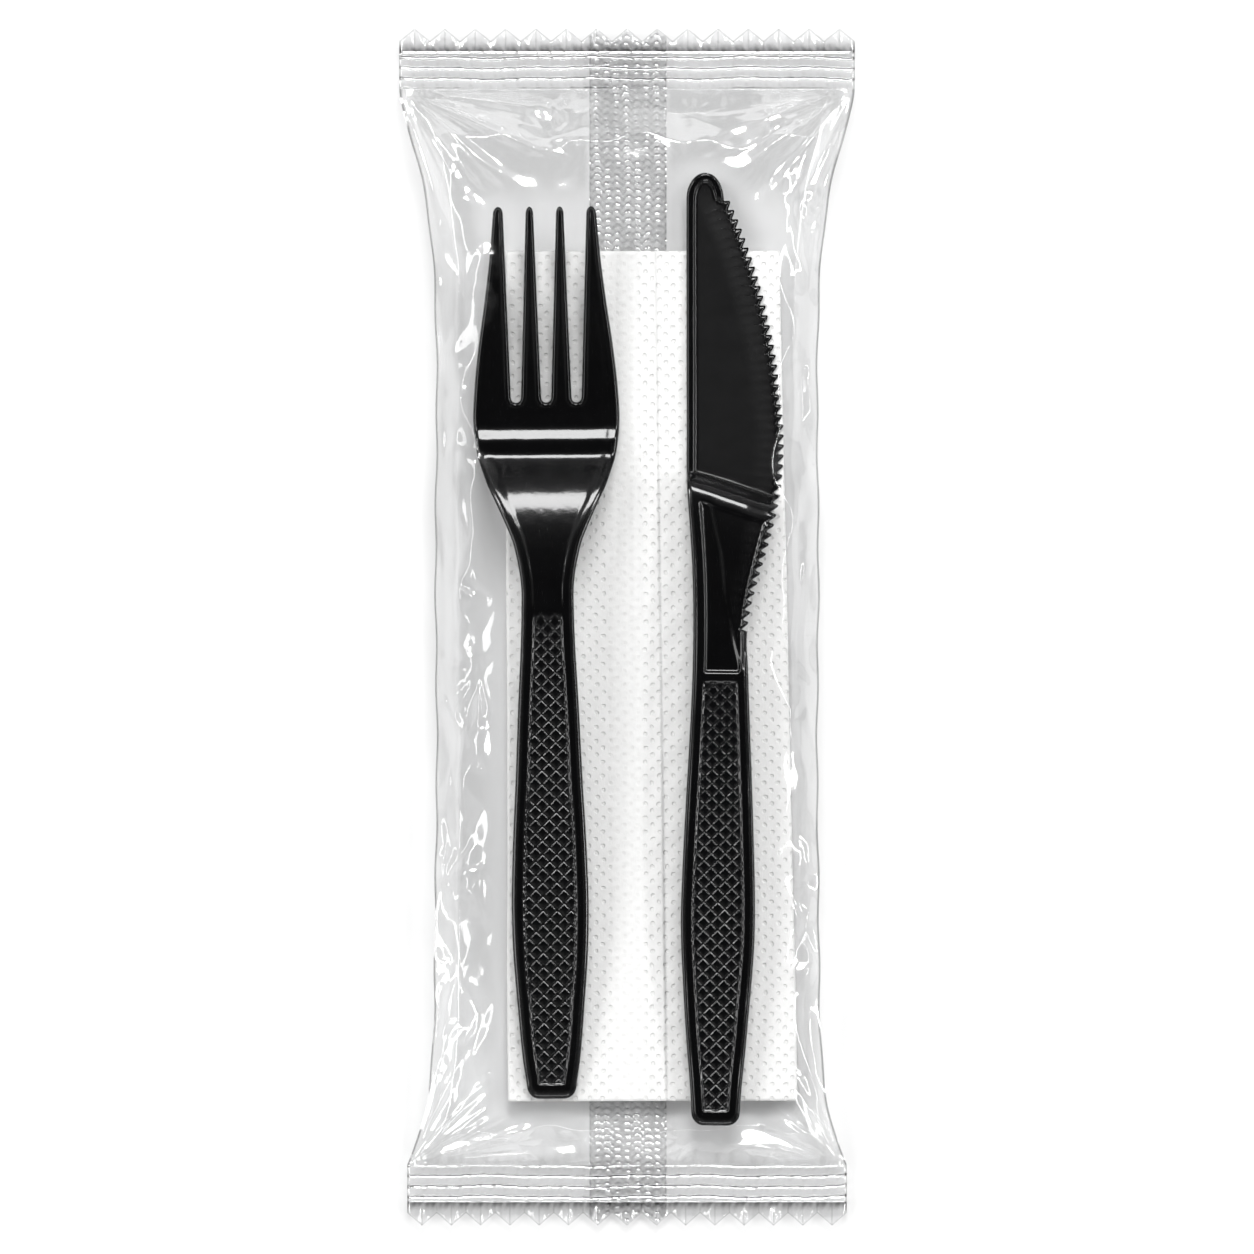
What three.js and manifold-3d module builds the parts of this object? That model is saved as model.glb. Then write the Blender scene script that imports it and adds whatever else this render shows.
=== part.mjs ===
// A single-serve cutlery pack: a plastic fork, a plastic knife and a folded paper napkin,
// flow-wrapped in one piece of clear film. The pack lies on its back. Millimetres, +Z up.
// X runs across the pack, Y along it towards the tines and the blade tip.
import * as THREE from 'three';
import * as BufferGeometryUtils from 'three/addons/utils/BufferGeometryUtils.js';
import Module from 'manifold-3d';

// ---------------------------------------------------------------- driving dimensions

const GAP = 0.3; // clearance between any two pieces

const FILM = {
	thickness: 0.2, // the film with its coating, drawn a little heavy
	length: 239.2, // tooth tip to tooth tip
	farSealHalf: 45.5, // half-width of the seal over the tines and the blade
	nearSealHalf: 44, // half-width of the seal under the handles, drawn in a little
	waistHalf: 38.2, // half-width at mid-length, where the contents lift the film
	sealLength: 12.1, // crimped and toothed strip at each end
	toothStrip: 4.8, // outer part of the seal, with no crimp ribs
	toothDepth: 2.4,
	teeth: 15,
	sealHeight: 2, // the end seals hang this far above the table
	endRise: 11.5, // stretch over which the back rises to a seal
	shoulder: 0.2, // share of the half-width over which the front drops to a side fold
	sideHeight: 7.5, // the side folds hang this far above the table
	flatBack: 32.9, // half-width of the back that lies on the table
	finLeft: -7.5, // root of the lengthwise back seal
	finRight: 7.9, // free edge of that seal
	layerGap: 0.06, // air between two sealed layers
};

// Height of the front film above the table along the middle of the pack.
const FILM_CROWN = [
	[ - 107.5, 2 ], [ - 105, 5.2 ], [ - 102, 7.6 ], [ - 99, 8.4 ], [ - 94, 9 ], [ - 60, 11.2 ],
	[ - 20, 14.6 ], [ 4, 16.4 ], [ 20, 16.2 ], [ 50, 14.8 ], [ 84, 12.8 ], [ 92, 11.8 ],
	[ 98, 9.8 ], [ 103, 6.2 ], [ 107.5, 2 ],
];

const NAPKIN = {
	length: 169.8, // folded
	width: 56.2, // folded
	layers: 6, // runs of the doubled tissue in the folded section
	layerThickness: 0.34,
	layerGap: 0.12,
	flapEdge: 24.5, // the top run ends this far from the left fold
	centre: [ 4.15, - 9.8 ],
	turn: 0.0024,
};

const FORK = {
	length: 178,
	thickness: 1.6,
	tineSlots: 3,
	slotPitch: 6.05,
	slotTipHalf: 2.3,
	slotRootHalf: 1.0,
	slotRoot: 140, // along the fork from its handle end
	panelDepth: 0.45,
	panel: [ 3, 96 ],
	rim: 2.4,
	endAt: [ - 15, - 94.2 ],
	turn: 0.0081,
};

const KNIFE = {
	thickness: 1.8,
	teeth: 44,
	toothDepth: 1.05,
	spineRim: 2,
	fieldDepth: 0.5,
	field: [ 100, 186 ],
	panelDepth: 0.4,
	panel: [ 2.6, 88 ],
	rim: 2.2,
	endAt: [ 17.6, - 99.4 ],
	turn: - 0.0106,
};

// Half-width of the fork at points along it, from the handle end to the tine tips.
const FORK_SIDE = [
	[ 3.4, 0 ], [ 4.9, 1.8 ], [ 6.7, 18.8 ], [ 7.7, 38.4 ], [ 6.7, 63.6 ], [ 5.4, 91.6 ],
	[ 5.3, 102.8 ], [ 6.9, 111.2 ], [ 10.5, 119.6 ], [ 13.7, 128 ], [ 14.6, 135 ],
	[ 13.4, 150.4 ], [ 11.5, 165 ], [ 10.2, 176.6 ],
];

// Height of the middle of the fork's wall at points along it.
const FORK_PROFILE = [
	[ 0, 0.8 ], [ 30, 4.4 ], [ 60, 7.9 ], [ 90, 10.5 ], [ 98, 10.8 ], [ 110, 9.8 ], [ 116, 8.6 ],
	[ 121, 6.9 ], [ 127, 3.1 ], [ 131, 1.9 ], [ 136, 1.2 ], [ 150, 2.5 ], [ 165, 4.8 ], [ 178, 6.9 ],
];

// The knife's plain right side, from the handle end to the first tooth.
const KNIFE_HANDLE_SIDE = [
	[ 3.4, 0 ], [ 4.5, 1.6 ], [ 5.84, 15 ], [ 7, 29 ], [ 7.46, 43 ], [ 6.76, 64 ], [ 5.76, 85.8 ],
	[ 5.2, 96 ],
];

// The line through the tooth tips, from the neck to the point.
const KNIFE_TOOTH_LINE = [
	[ 5.3, 99.2 ], [ 6.85, 107 ], [ 9.4, 116 ], [ 11.4, 125 ], [ 12.2, 134.5 ], [ 11.6, 144.5 ],
	[ 10, 156 ], [ 7.4, 167 ], [ 4.3, 176.6 ], [ 0.7, 185 ], [ - 1.2, 188 ],
];

// The knife's spine, from the point back to the handle end.
const KNIFE_SPINE = [
	[ - 2.6, 189.6 ], [ - 4, 190.2 ], [ - 5.6, 189.8 ], [ - 7.3, 188.1 ], [ - 7.75, 185 ],
	[ - 7.5, 162 ], [ - 7.1, 132 ], [ - 6.2, 116 ], [ - 5.5, 98 ], [ - 5.8, 85 ], [ - 6.6, 64 ],
	[ - 7.3, 43 ], [ - 6.8, 29 ], [ - 5.8, 15 ], [ - 4.5, 1.6 ], [ - 3.4, 0 ],
];

const KNIFE_PROFILE = [
	[ 0, 2.25 ], [ 20, 3.6 ], [ 40, 4.9 ], [ 60, 6 ], [ 80, 6.6 ], [ 90, 6.7 ], [ 100, 6.5 ],
	[ 112, 5.6 ], [ 120, 4.8 ], [ 124.5, 3.9 ], [ 128, 1.5 ], [ 131, 0.95 ], [ 150, 0.9 ],
	[ 190.2, 0.9 ],
];

// ---------------------------------------------------------------- materials

const clearFilm = new THREE.MeshStandardMaterial( {
	color: 0xf2f4f5, roughness: 0.12, metalness: 0, transparent: true, opacity: 0.35,
} );
const blackPlastic = new THREE.MeshStandardMaterial( { color: 0x0d0d0f, roughness: 0.22, metalness: 0 } );
const whiteTissue = new THREE.MeshStandardMaterial( { color: 0xf3f2ef, roughness: 0.95, metalness: 0 } );

// ---------------------------------------------------------------- helpers

const wasm = await Module();
wasm.setup();

/** A closed geometry as a solid that can be joined and cut. */
function solid( geometry ) {

	const bare = geometry.clone();
	bare.deleteAttribute( 'normal' );
	bare.deleteAttribute( 'uv' );
	const merged = BufferGeometryUtils.mergeVertices( bare, 1e-4 );
	return new wasm.Manifold( new wasm.Mesh( {
		numProp: 3,
		vertProperties: new Float32Array( merged.attributes.position.array ),
		triVerts: new Uint32Array( merged.index.array ),
	} ) );

}

/** A cut or joined solid as a geometry again. */
function geometryOf( body ) {

	const mesh = body.getMesh();
	const geometry = new THREE.BufferGeometry();
	geometry.setAttribute( 'position', new THREE.BufferAttribute( mesh.vertProperties, 3 ) );
	geometry.setIndex( new THREE.BufferAttribute( mesh.triVerts, 1 ) );
	geometry.computeVertexNormals();
	return geometry;

}

/** Points as 2-D vectors. */
function vectors( points ) {

	return points.map( ( [ x, y ] ) => new THREE.Vector2( x, y ) );

}

/** A smooth run of points through a few given ones. */
function smooth( points, count ) {

	return new THREE.SplineCurve( vectors( points ) ).getPoints( count );

}

/** An upright prism over a plan outline, tall enough to cut any piece. */
function prism( outline ) {

	const geometry = new THREE.ExtrudeGeometry( new THREE.Shape( outline ), {
		depth: 60, bevelEnabled: false, steps: 1,
	} );
	geometry.translate( 0, 0, - 30 );
	return solid( geometry );

}

/** A wall that follows a side profile in Y and Z, from low to high about it, and spans the width. */
function wall( profile, low, high ) {

	const middle = smooth( profile, 42 );
	const under = middle.map( ( p ) => new THREE.Vector2( p.x, p.y + low ) );
	const over = middle.map( ( p ) => new THREE.Vector2( p.x, p.y + high ) );
	// The wall runs a little past both ends, so that only the plan outline ends the piece.
	under[ 0 ].x -= 1;
	over[ 0 ].x -= 1;
	under[ under.length - 1 ].x += 1;
	over[ over.length - 1 ].x += 1;
	const geometry = new THREE.ExtrudeGeometry( new THREE.Shape( [ ...under, ...over.reverse() ] ), {
		depth: 60, bevelEnabled: false, steps: 1,
	} );
	geometry.translate( 0, 0, - 30 );
	geometry.applyMatrix4( new THREE.Matrix4().makeBasis(
		new THREE.Vector3( 0, 1, 0 ),
		new THREE.Vector3( 0, 0, 1 ),
		new THREE.Vector3( 1, 0, 0 ),
	) );
	return solid( geometry );

}

/** The same outline mirrored left to right and run the other way round. */
function mirrored( points ) {

	return points.map( ( p ) => new THREE.Vector2( - p.x, p.y ) ).reverse();

}

/** A panel outline between two stations that keeps a rim inside a symmetrical outline. */
function panelOutline( side, rim, [ start, end ] ) {

	const inside = side.filter( ( p ) => p.y > start + 2 && p.y < end - 2 );
	const right = inside.map( ( p ) => new THREE.Vector2( p.x - rim, p.y ) );
	const first = right[ 0 ];
	const last = right[ right.length - 1 ];
	right.unshift( new THREE.Vector2( first.x * 0.6, start ) );
	right.push( new THREE.Vector2( last.x * 0.8, end ) );
	return [ ...right, ...mirrored( right ) ];

}

/** A sheet of constant thickness around a grid of points, closed along its four edges. */
function sheet( rows, thickness ) {

	const across = rows[ 0 ].length;
	const at = ( row, column ) => rows[ row ][ column ];
	const clamp = ( value, top ) => Math.max( 0, Math.min( top, value ) );
	const positions = [];
	for ( const sign of [ 0.5, - 0.5 ] ) {

		for ( let row = 0; row < rows.length; row ++ ) {

			for ( let column = 0; column < across; column ++ ) {

				const before = at( row, clamp( column - 1, across - 1 ) );
				const after = at( row, clamp( column + 1, across - 1 ) );
				const along = new THREE.Vector3( 0, 1, 0 );
				const turn = after.clone().sub( before );
				turn.y = 0;
				const normal = turn.cross( along ).normalize();
				const point = at( row, column ).clone().addScaledVector( normal, sign * thickness );
				positions.push( point.x, point.y, point.z );

			}

		}

	}

	const other = rows.length * across;
	const index = [];
	const quad = ( a, b, c, d ) => index.push( a, b, c, a, c, d );
	for ( let row = 0; row < rows.length - 1; row ++ ) {

		for ( let column = 0; column < across - 1; column ++ ) {

			const a = row * across + column;
			quad( a, a + 1, a + 1 + across, a + across );
			quad( other + a, other + a + across, other + a + 1 + across, other + a + 1 );

		}

		const left = row * across;
		const right = left + across - 1;
		quad( left, left + across, other + left + across, other + left );
		quad( right, other + right, other + right + across, right + across );

	}

	for ( let column = 0; column < across - 1; column ++ ) {

		const first = column;
		const last = ( rows.length - 1 ) * across + column;
		quad( first, other + first, other + first + 1, first + 1 );
		quad( last, last + 1, other + last + 1, other + last );

	}

	const geometry = new THREE.BufferGeometry();
	geometry.setAttribute( 'position', new THREE.Float32BufferAttribute( positions, 3 ) );
	geometry.setIndex( index );
	geometry.computeVertexNormals();
	return geometry;

}

/** A smooth step from 0 to 1 between two places. */
function ease( value, from, to ) {

	return THREE.MathUtils.smoothstep( value, from, to );

}

/** A named piece. */
function piece( name, geometry, material ) {

	const mesh = new THREE.Mesh( geometry, material );
	mesh.name = name;
	return mesh;

}

// ---------------------------------------------------------------- fork

/** The fork's plan outline, counter-clockwise from the handle end, round the tines and back. */
function forkOutline() {

	const side = smooth( FORK_SIDE, 40 );
	const outline = [ ...side ];
	const middleSlot = ( FORK.tineSlots - 1 ) / 2;
	let tineRight = side[ side.length - 1 ].x;
	for ( let slot = 0; slot <= FORK.tineSlots; slot ++ ) {

		const centre = ( middleSlot - slot ) * FORK.slotPitch;
		const isOuter = slot === FORK.tineSlots;
		const tineLeft = isOuter ? - side[ side.length - 1 ].x : centre + FORK.slotTipHalf;
		const tipCentre = ( tineRight + tineLeft ) / 2;
		const tipHalf = ( tineRight - tineLeft ) / 2;
		for ( let step = 1; step < 6; step ++ ) {

			const angle = step * Math.PI / 6;
			outline.push( new THREE.Vector2(
				tipCentre + tipHalf * Math.cos( angle ),
				FORK.length - 1.4 + 1.4 * Math.sin( angle ),
			) );

		}

		if ( isOuter ) break;
		outline.push( new THREE.Vector2( tineLeft, FORK.length - 1.4 ) );
		for ( let step = 0; step <= 6; step ++ ) {

			const angle = step * Math.PI / 6;
			outline.push( new THREE.Vector2(
				centre + FORK.slotRootHalf * Math.cos( angle ),
				FORK.slotRoot - FORK.slotRootHalf * Math.sin( angle ),
			) );

		}

		tineRight = centre - FORK.slotTipHalf;
		outline.push( new THREE.Vector2( tineRight, FORK.length - 1.4 ) );

	}

	outline.push( ...mirrored( side ) );
	return outline;

}

/** The fork: its plan cut from a wall that follows its side profile, with a sunk handle panel. */
function fork() {

	const half = FORK.thickness / 2;
	const side = smooth( FORK_SIDE, 40 );
	const body = prism( forkOutline() ).intersect( wall( FORK_PROFILE, - half, half ) );
	const sunk = wall( FORK_PROFILE, half - FORK.panelDepth, half + 2 );
	const panel = prism( panelOutline( side, FORK.rim, FORK.panel ) ).intersect( sunk );
	return piece( 'fork', geometryOf( body.subtract( panel ) ), blackPlastic );

}

// ---------------------------------------------------------------- knife

/** The serrated edge: every tooth swells to the tooth line and hooks a little towards the point. */
function serratedEdge() {

	const line = new THREE.SplineCurve( vectors( KNIFE_TOOTH_LINE ) );
	const points = [];
	for ( let tooth = 0; tooth < KNIFE.teeth; tooth ++ ) {

		for ( const [ along, depth ] of [ [ 0, 1 ], [ 0.35, 0.35 ], [ 0.7, 0 ], [ 0.92, 0.2 ] ] ) {

			const where = ( tooth + along ) / KNIFE.teeth;
			const tangent = line.getTangentAt( where );
			const inward = new THREE.Vector2( - tangent.y, tangent.x );
			const point = line.getPointAt( where );
			points.push( point.addScaledVector( inward, depth * KNIFE.toothDepth ) );

		}

	}

	return points;

}

/** The knife's plan outline, counter-clockwise from the handle end. */
function knifeOutline() {

	return [
		...smooth( KNIFE_HANDLE_SIDE, 20 ),
		...serratedEdge(),
		...smooth( KNIFE_SPINE, 48 ),
	];

}

/** The knife: its plan cut from its side profile, thinned over the blade, with a sunk handle panel. */
function knife() {

	const half = KNIFE.thickness / 2;
	const body = prism( knifeOutline() ).intersect( wall( KNIFE_PROFILE, - half, half ) );
	const spine = smooth( KNIFE_SPINE, 48 ).filter( ( p ) => p.y > KNIFE.field[ 0 ] && p.y < KNIFE.field[ 1 ] );
	const field = [
		new THREE.Vector2( 20, KNIFE.field[ 0 ] ),
		new THREE.Vector2( 20, KNIFE.field[ 1 ] ),
		...spine.map( ( p ) => new THREE.Vector2( p.x + KNIFE.spineRim, p.y ) ),
	];
	const fieldCut = prism( field ).intersect( wall( KNIFE_PROFILE, half - KNIFE.fieldDepth, half + 2 ) );
	const side = smooth( KNIFE_HANDLE_SIDE, 20 );
	const panel = panelOutline( side, KNIFE.rim, KNIFE.panel );
	const panelCut = prism( panel ).intersect( wall( KNIFE_PROFILE, half - KNIFE.panelDepth, half + 2 ) );
	return piece( 'knife', geometryOf( body.subtract( fieldCut ).subtract( panelCut ) ), blackPlastic );

}

// ---------------------------------------------------------------- napkin

/** Height of the middle of one run of the folded tissue. */
function runHeight( run ) {

	return NAPKIN.layerThickness / 2 + run * ( NAPKIN.layerThickness + NAPKIN.layerGap );

}

/** The napkin: one strip folded to and fro, cut to its section and carried along its length. */
function napkin() {

	const half = NAPKIN.width / 2;
	const turnRadius = ( NAPKIN.layerThickness + NAPKIN.layerGap ) / 2;
	const centreLine = [];
	for ( let run = 0; run < NAPKIN.layers; run ++ ) {

		const towardsRight = run % 2 === 1;
		const sign = towardsRight ? 1 : - 1;
		const isTop = run === NAPKIN.layers - 1;
		const endX = isTop ? - half + NAPKIN.flapEdge : sign * ( half - turnRadius );
		if ( run === 0 ) centreLine.push( new THREE.Vector2( half - 1, runHeight( 0 ) ) );
		centreLine.push( new THREE.Vector2( endX, runHeight( run ) ) );
		if ( isTop ) break;
		for ( let step = 1; step <= 4; step ++ ) {

			const angle = step * Math.PI / 4;
			centreLine.push( new THREE.Vector2(
				endX + sign * turnRadius * Math.sin( angle ),
				runHeight( run ) + turnRadius * ( 1 - Math.cos( angle ) ),
			) );

		}

	}

	const offset = ( sign ) => centreLine.map( ( p, i ) => {

		const before = centreLine[ Math.max( 0, i - 1 ) ];
		const after = centreLine[ Math.min( centreLine.length - 1, i + 1 ) ];
		const along = after.clone().sub( before ).normalize();
		return new THREE.Vector2( - along.y, along.x ).multiplyScalar( sign * NAPKIN.layerThickness / 2 ).add( p );

	} );
	const section = [ ...offset( 1 ), ...offset( - 1 ).reverse() ];
	const geometry = new THREE.ExtrudeGeometry( new THREE.Shape( section ), {
		depth: NAPKIN.length, bevelEnabled: false, steps: 1,
	} );
	geometry.rotateX( Math.PI / 2 );
	geometry.translate( 0, NAPKIN.length / 2, 0 );
	return piece( 'napkin', geometry, whiteTissue );

}

// ---------------------------------------------------------------- film wrapper

/** Half-width of the seal at one end of the pack. */
function sealHalf( y ) {

	return y > 0 ? FILM.farSealHalf : FILM.nearSealHalf;

}

/** Distance in from the nearer seal at a place along the pack, nothing on the seal. */
function fromSeal( y ) {

	return Math.max( 0, FILM.length / 2 - FILM.sealLength - Math.abs( y ) );

}

/** Half-width of the pack at a place along it: wide at the seals, drawn in over the contents. */
function halfWidth( y ) {

	const reach = y > 0 ? 17 : 13;
	const flare = Math.exp( - ( ( fromSeal( y ) / reach ) ** 1.3 ) );
	return THREE.MathUtils.lerp( FILM.waistHalf, sealHalf( y ), flare );

}

/** Height of the front film above the table along the middle of the pack. */
function frontHeight( y ) {

	const next = FILM_CROWN.findIndex( ( [ place ] ) => place >= y );
	if ( next < 1 ) return FILM.sealHeight;
	const [ start, low ] = FILM_CROWN[ next - 1 ];
	const [ end, high ] = FILM_CROWN[ next ];
	return THREE.MathUtils.mapLinear( y, start, end, low, high );

}

/** Height of the underside of the pack, which rises from the table to each seal. */
function backRise( y ) {

	const sealStart = FILM.length / 2 - FILM.sealLength;
	return FILM.sealHeight * ease( Math.abs( y ), sealStart - FILM.endRise, sealStart );

}

/** How far the toothed edge at one end stands back at a place across the pack. */
function toothSetback( x, y ) {

	const half = sealHalf( y );
	const phase = ( x + half ) / ( 2 * half ) * FILM.teeth;
	return FILM.toothDepth * Math.abs( phase - Math.floor( phase ) - 0.5 ) * 2;

}

/** Cross-section of the film at a station: from the fin's lower edge round the pack to its upper edge. */
function filmSection( y ) {

	const half = halfWidth( y );
	const opened = ( 1 - ( 1 - fromSeal( y ) / ( FILM.length / 2 - FILM.sealLength ) ) ** 7 ) ** 0.75;
	const t = FILM.thickness;
	const bottom = t / 2 + backRise( y );
	const finUpper = bottom + t + FILM.layerGap;
	const overFin = finUpper + t + FILM.layerGap;
	const frontLow = overFin + t + FILM.layerGap;
	const sideHeight = THREE.MathUtils.lerp( frontLow, FILM.sideHeight, opened );
	const crown = Math.max( frontHeight( y ), frontLow ) - sideHeight;
	const flat = THREE.MathUtils.lerp( half * 0.9, FILM.flatBack, opened );
	const step = sealHalf( y ) / FILM.teeth;
	const points = [];
	const add = ( x, z ) => points.push( new THREE.Vector2( x, z ) );
	const finStations = [ FILM.finRight, 2 * step, step, 0, - step, - 2 * step ];
	const rise = sideHeight - bottom;
	const turnUp = ( share ) => [ flat + ( half - flat ) * share, bottom + rise * share ** 1.5 ];

	for ( const x of [ ...finStations, FILM.finLeft ] ) add( x, bottom );
	for ( let k = 1; k <= 7; k ++ ) {

		add( THREE.MathUtils.lerp( FILM.finLeft, - flat, k / 7 ), bottom );

	}

	for ( const share of [ 0.4, 0.65, 0.85 ] ) {

		const [ x, z ] = turnUp( share );
		add( - x, z );

	}

	for ( let k = 0; k <= FILM.teeth * 2; k ++ ) {

		const u = - 1 + k / FILM.teeth;
		const inward = Math.min( 1, ( 1 - Math.abs( u ) ) / FILM.shoulder );
		add( u * half, sideHeight + crown * ( 1 - ( 1 - inward ) ** 1.3 ) );

	}

	for ( const share of [ 0.85, 0.65, 0.4 ] ) add( ...turnUp( share ) );

	const foot = FILM.finRight + 1.6;
	for ( let k = 0; k <= 5; k ++ ) add( THREE.MathUtils.lerp( flat, foot, k / 5 ), bottom );
	for ( const x of [ FILM.finRight + 0.4, ...finStations.slice( 1 ) ] ) add( x, overFin );
	add( FILM.finLeft + 0.2, ( overFin + finUpper ) / 2 );
	for ( const x of finStations.slice().reverse() ) add( x, finUpper );
	return points;

}

/** The film wrapper: one sheet round the contents, its edges laid over as a fin, its ends toothed. */
function filmWrapper() {

	const end = FILM.length / 2;
	const sealStart = end - FILM.sealLength;
	const sealRows = [ sealStart, end - FILM.toothStrip, end ];
	const stations = [
		...sealRows.map( ( y ) => - y ).reverse(), - 105, - 102, - 99, - 94, - 84, - 60, - 40, - 20,
		4, 20, 36, 50, 66, 84, 92, 98, 103, ...sealRows,
	];
	const rows = stations.map( ( y ) => filmSection( y ).map( ( p ) => {

		const isEdge = Math.abs( y ) === end;
		const setback = isEdge ? toothSetback( p.x, y ) : 0;
		return new THREE.Vector3( p.x, y - Math.sign( y ) * setback, p.y );

	} ) );
	return piece( 'film_wrapper', sheet( rows, FILM.thickness ), clearFilm );

}

// ---------------------------------------------------------------- the pack

const wrapper = filmWrapper();

const foldedNapkin = napkin();
const napkinBase = 3 * FILM.thickness + 2 * FILM.layerGap + GAP;
foldedNapkin.position.set( ...NAPKIN.centre, napkinBase );
foldedNapkin.rotation.z = NAPKIN.turn;

const napkinTop = napkinBase + runHeight( NAPKIN.layers - 1 ) + NAPKIN.layerThickness / 2;
const cutlery = new THREE.Group();
cutlery.position.z = napkinTop + GAP;

const forkPiece = fork();
forkPiece.position.set( ...FORK.endAt, 0 );
forkPiece.rotation.z = FORK.turn;

const knifePiece = knife();
knifePiece.position.set( ...KNIFE.endAt, 0 );
knifePiece.rotation.z = KNIFE.turn;

cutlery.add( forkPiece, knifePiece );

const pack = new THREE.Group();
pack.add( wrapper, foldedNapkin, cutlery );

export default pack;
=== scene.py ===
"""A disposable fork and knife on a folded tissue napkin, flow-wrapped in one sheet of clear film.

Every length is in millimetres in the shared frame, and turned into metres where a mesh is made.
X runs across the pack, Y along it towards the tines and the blade tip, and Z up out of the table.
"""
import logging
import math
from dataclasses import dataclass
from enum import Enum
from typing import Any, Callable, Sequence

import bpy
import numpy as np
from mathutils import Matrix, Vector
from mathutils.geometry import delaunay_2d_cdt


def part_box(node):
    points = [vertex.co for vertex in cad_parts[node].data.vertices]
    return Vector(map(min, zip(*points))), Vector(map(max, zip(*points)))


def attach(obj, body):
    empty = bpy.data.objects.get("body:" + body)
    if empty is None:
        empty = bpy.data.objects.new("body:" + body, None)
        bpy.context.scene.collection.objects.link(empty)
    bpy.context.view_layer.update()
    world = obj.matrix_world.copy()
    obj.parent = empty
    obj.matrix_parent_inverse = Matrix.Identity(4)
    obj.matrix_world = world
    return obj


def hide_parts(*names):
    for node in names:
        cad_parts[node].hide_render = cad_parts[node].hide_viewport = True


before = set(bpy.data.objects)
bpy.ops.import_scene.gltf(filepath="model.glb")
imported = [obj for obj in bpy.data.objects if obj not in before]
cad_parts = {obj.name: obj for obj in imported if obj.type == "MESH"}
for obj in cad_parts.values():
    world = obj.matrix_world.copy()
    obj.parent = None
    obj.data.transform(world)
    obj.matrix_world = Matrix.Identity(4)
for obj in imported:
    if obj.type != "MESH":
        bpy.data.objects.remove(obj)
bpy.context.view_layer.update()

log = logging.getLogger("cutlery_pack")

MM = 0.001
Knots = Sequence[tuple[float, float]]


# ---------------------------------------------------------------- numbers on arrays


def ramp(value: np.ndarray, low: float, high: float) -> np.ndarray:
    """A straight rise from 0 at the low value to 1 at the high one."""
    return np.clip((value - low) / (high - low), 0.0, 1.0)


def ease(value: np.ndarray, low: float, high: float) -> np.ndarray:
    """A smooth step: 0 below low, 1 above high, and 3t^2 - 2t^3 between."""
    t = ramp(value, low, high)
    return t * t * (3.0 - 2.0 * t)


def ledge(value: np.ndarray, start: float, wall: float = 0.74, run: float = 0.3) -> np.ndarray:
    """A moulded edge: a share of the step in a steep wall, then the rest in a chamfer as wide."""
    chamfer = ramp(value, start + run, start + 2.0 * run)
    return wall * ease(value, start, start + run) + (1.0 - wall) * chamfer


def mound(value: np.ndarray, centre: float, half: float) -> np.ndarray:
    """A rounded ridge of height 1: half a cosine wave within half of the centre, else 0."""
    return 0.5 + 0.5 * np.cos(math.pi * np.clip((value - centre) / half, -1.0, 1.0))


def through(at: np.ndarray, knots: Knots) -> np.ndarray:
    """A smooth curve through knots: a cubic Hermite span between each two.

    The slope at a knot is the mean slope of its two neighbours' chord, so the curve doesn't ring.

    Args:
        at: Where the curve is asked.
        knots: Its (place, value) pairs, in rising order of place.

    Returns:
        The curve's value at each place, level beyond the ends.
    """
    place, value = np.array(knots, dtype=float).T
    slope = np.gradient(value, place)
    clipped = np.clip(at, place[0], place[-1])
    span = np.clip(np.searchsorted(place, clipped, side="right") - 1, 0, len(place) - 2)
    width = place[span + 1] - place[span]
    t = (clipped - place[span]) / width
    start = (2 * t**3 - 3 * t**2 + 1) * value[span] + (t**3 - 2 * t**2 + t) * width * slope[span]
    end = (3 * t**2 - 2 * t**3) * value[span + 1] + (t**3 - t**2) * width * slope[span + 1]
    return start + end


def triangle_wave(phase: np.ndarray) -> np.ndarray:
    """A wave of straight flanks: 0 at whole phases and 1 half-way between."""
    return 2.0 * np.abs(phase - np.round(phase))


def cosine_wave(phase: np.ndarray) -> np.ndarray:
    """A smooth wave: 1 at whole phases and -1 half-way between."""
    return np.cos(2.0 * math.pi * phase)


def spread_evenly(count: int) -> np.ndarray:
    """Fractions from 0 to 1 that crowd towards both ends: (1 - cos of an even angle) / 2."""
    return 0.5 - 0.5 * np.cos(np.linspace(0.0, math.pi, count))


def stacked(*axes: np.ndarray) -> np.ndarray:
    """Grids of one coordinate each as rows of points."""
    return np.stack(axes, axis=-1).reshape(-1, len(axes))


def links(path: np.ndarray) -> np.ndarray:
    """The straight spans of a path of corners: start and end of each."""
    return np.stack([path[:-1], path[1:]], axis=1)


def directions(path: np.ndarray) -> tuple[np.ndarray, np.ndarray]:
    """Unit steps along a plane path at its corners, and the same turned a quarter to the left."""
    ahead = np.gradient(path, axis=0)
    ahead /= np.maximum(np.hypot(ahead[:, 0], ahead[:, 1]), 1e-9)[:, None]
    return ahead, np.column_stack([-ahead[:, 1], ahead[:, 0]])


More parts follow.
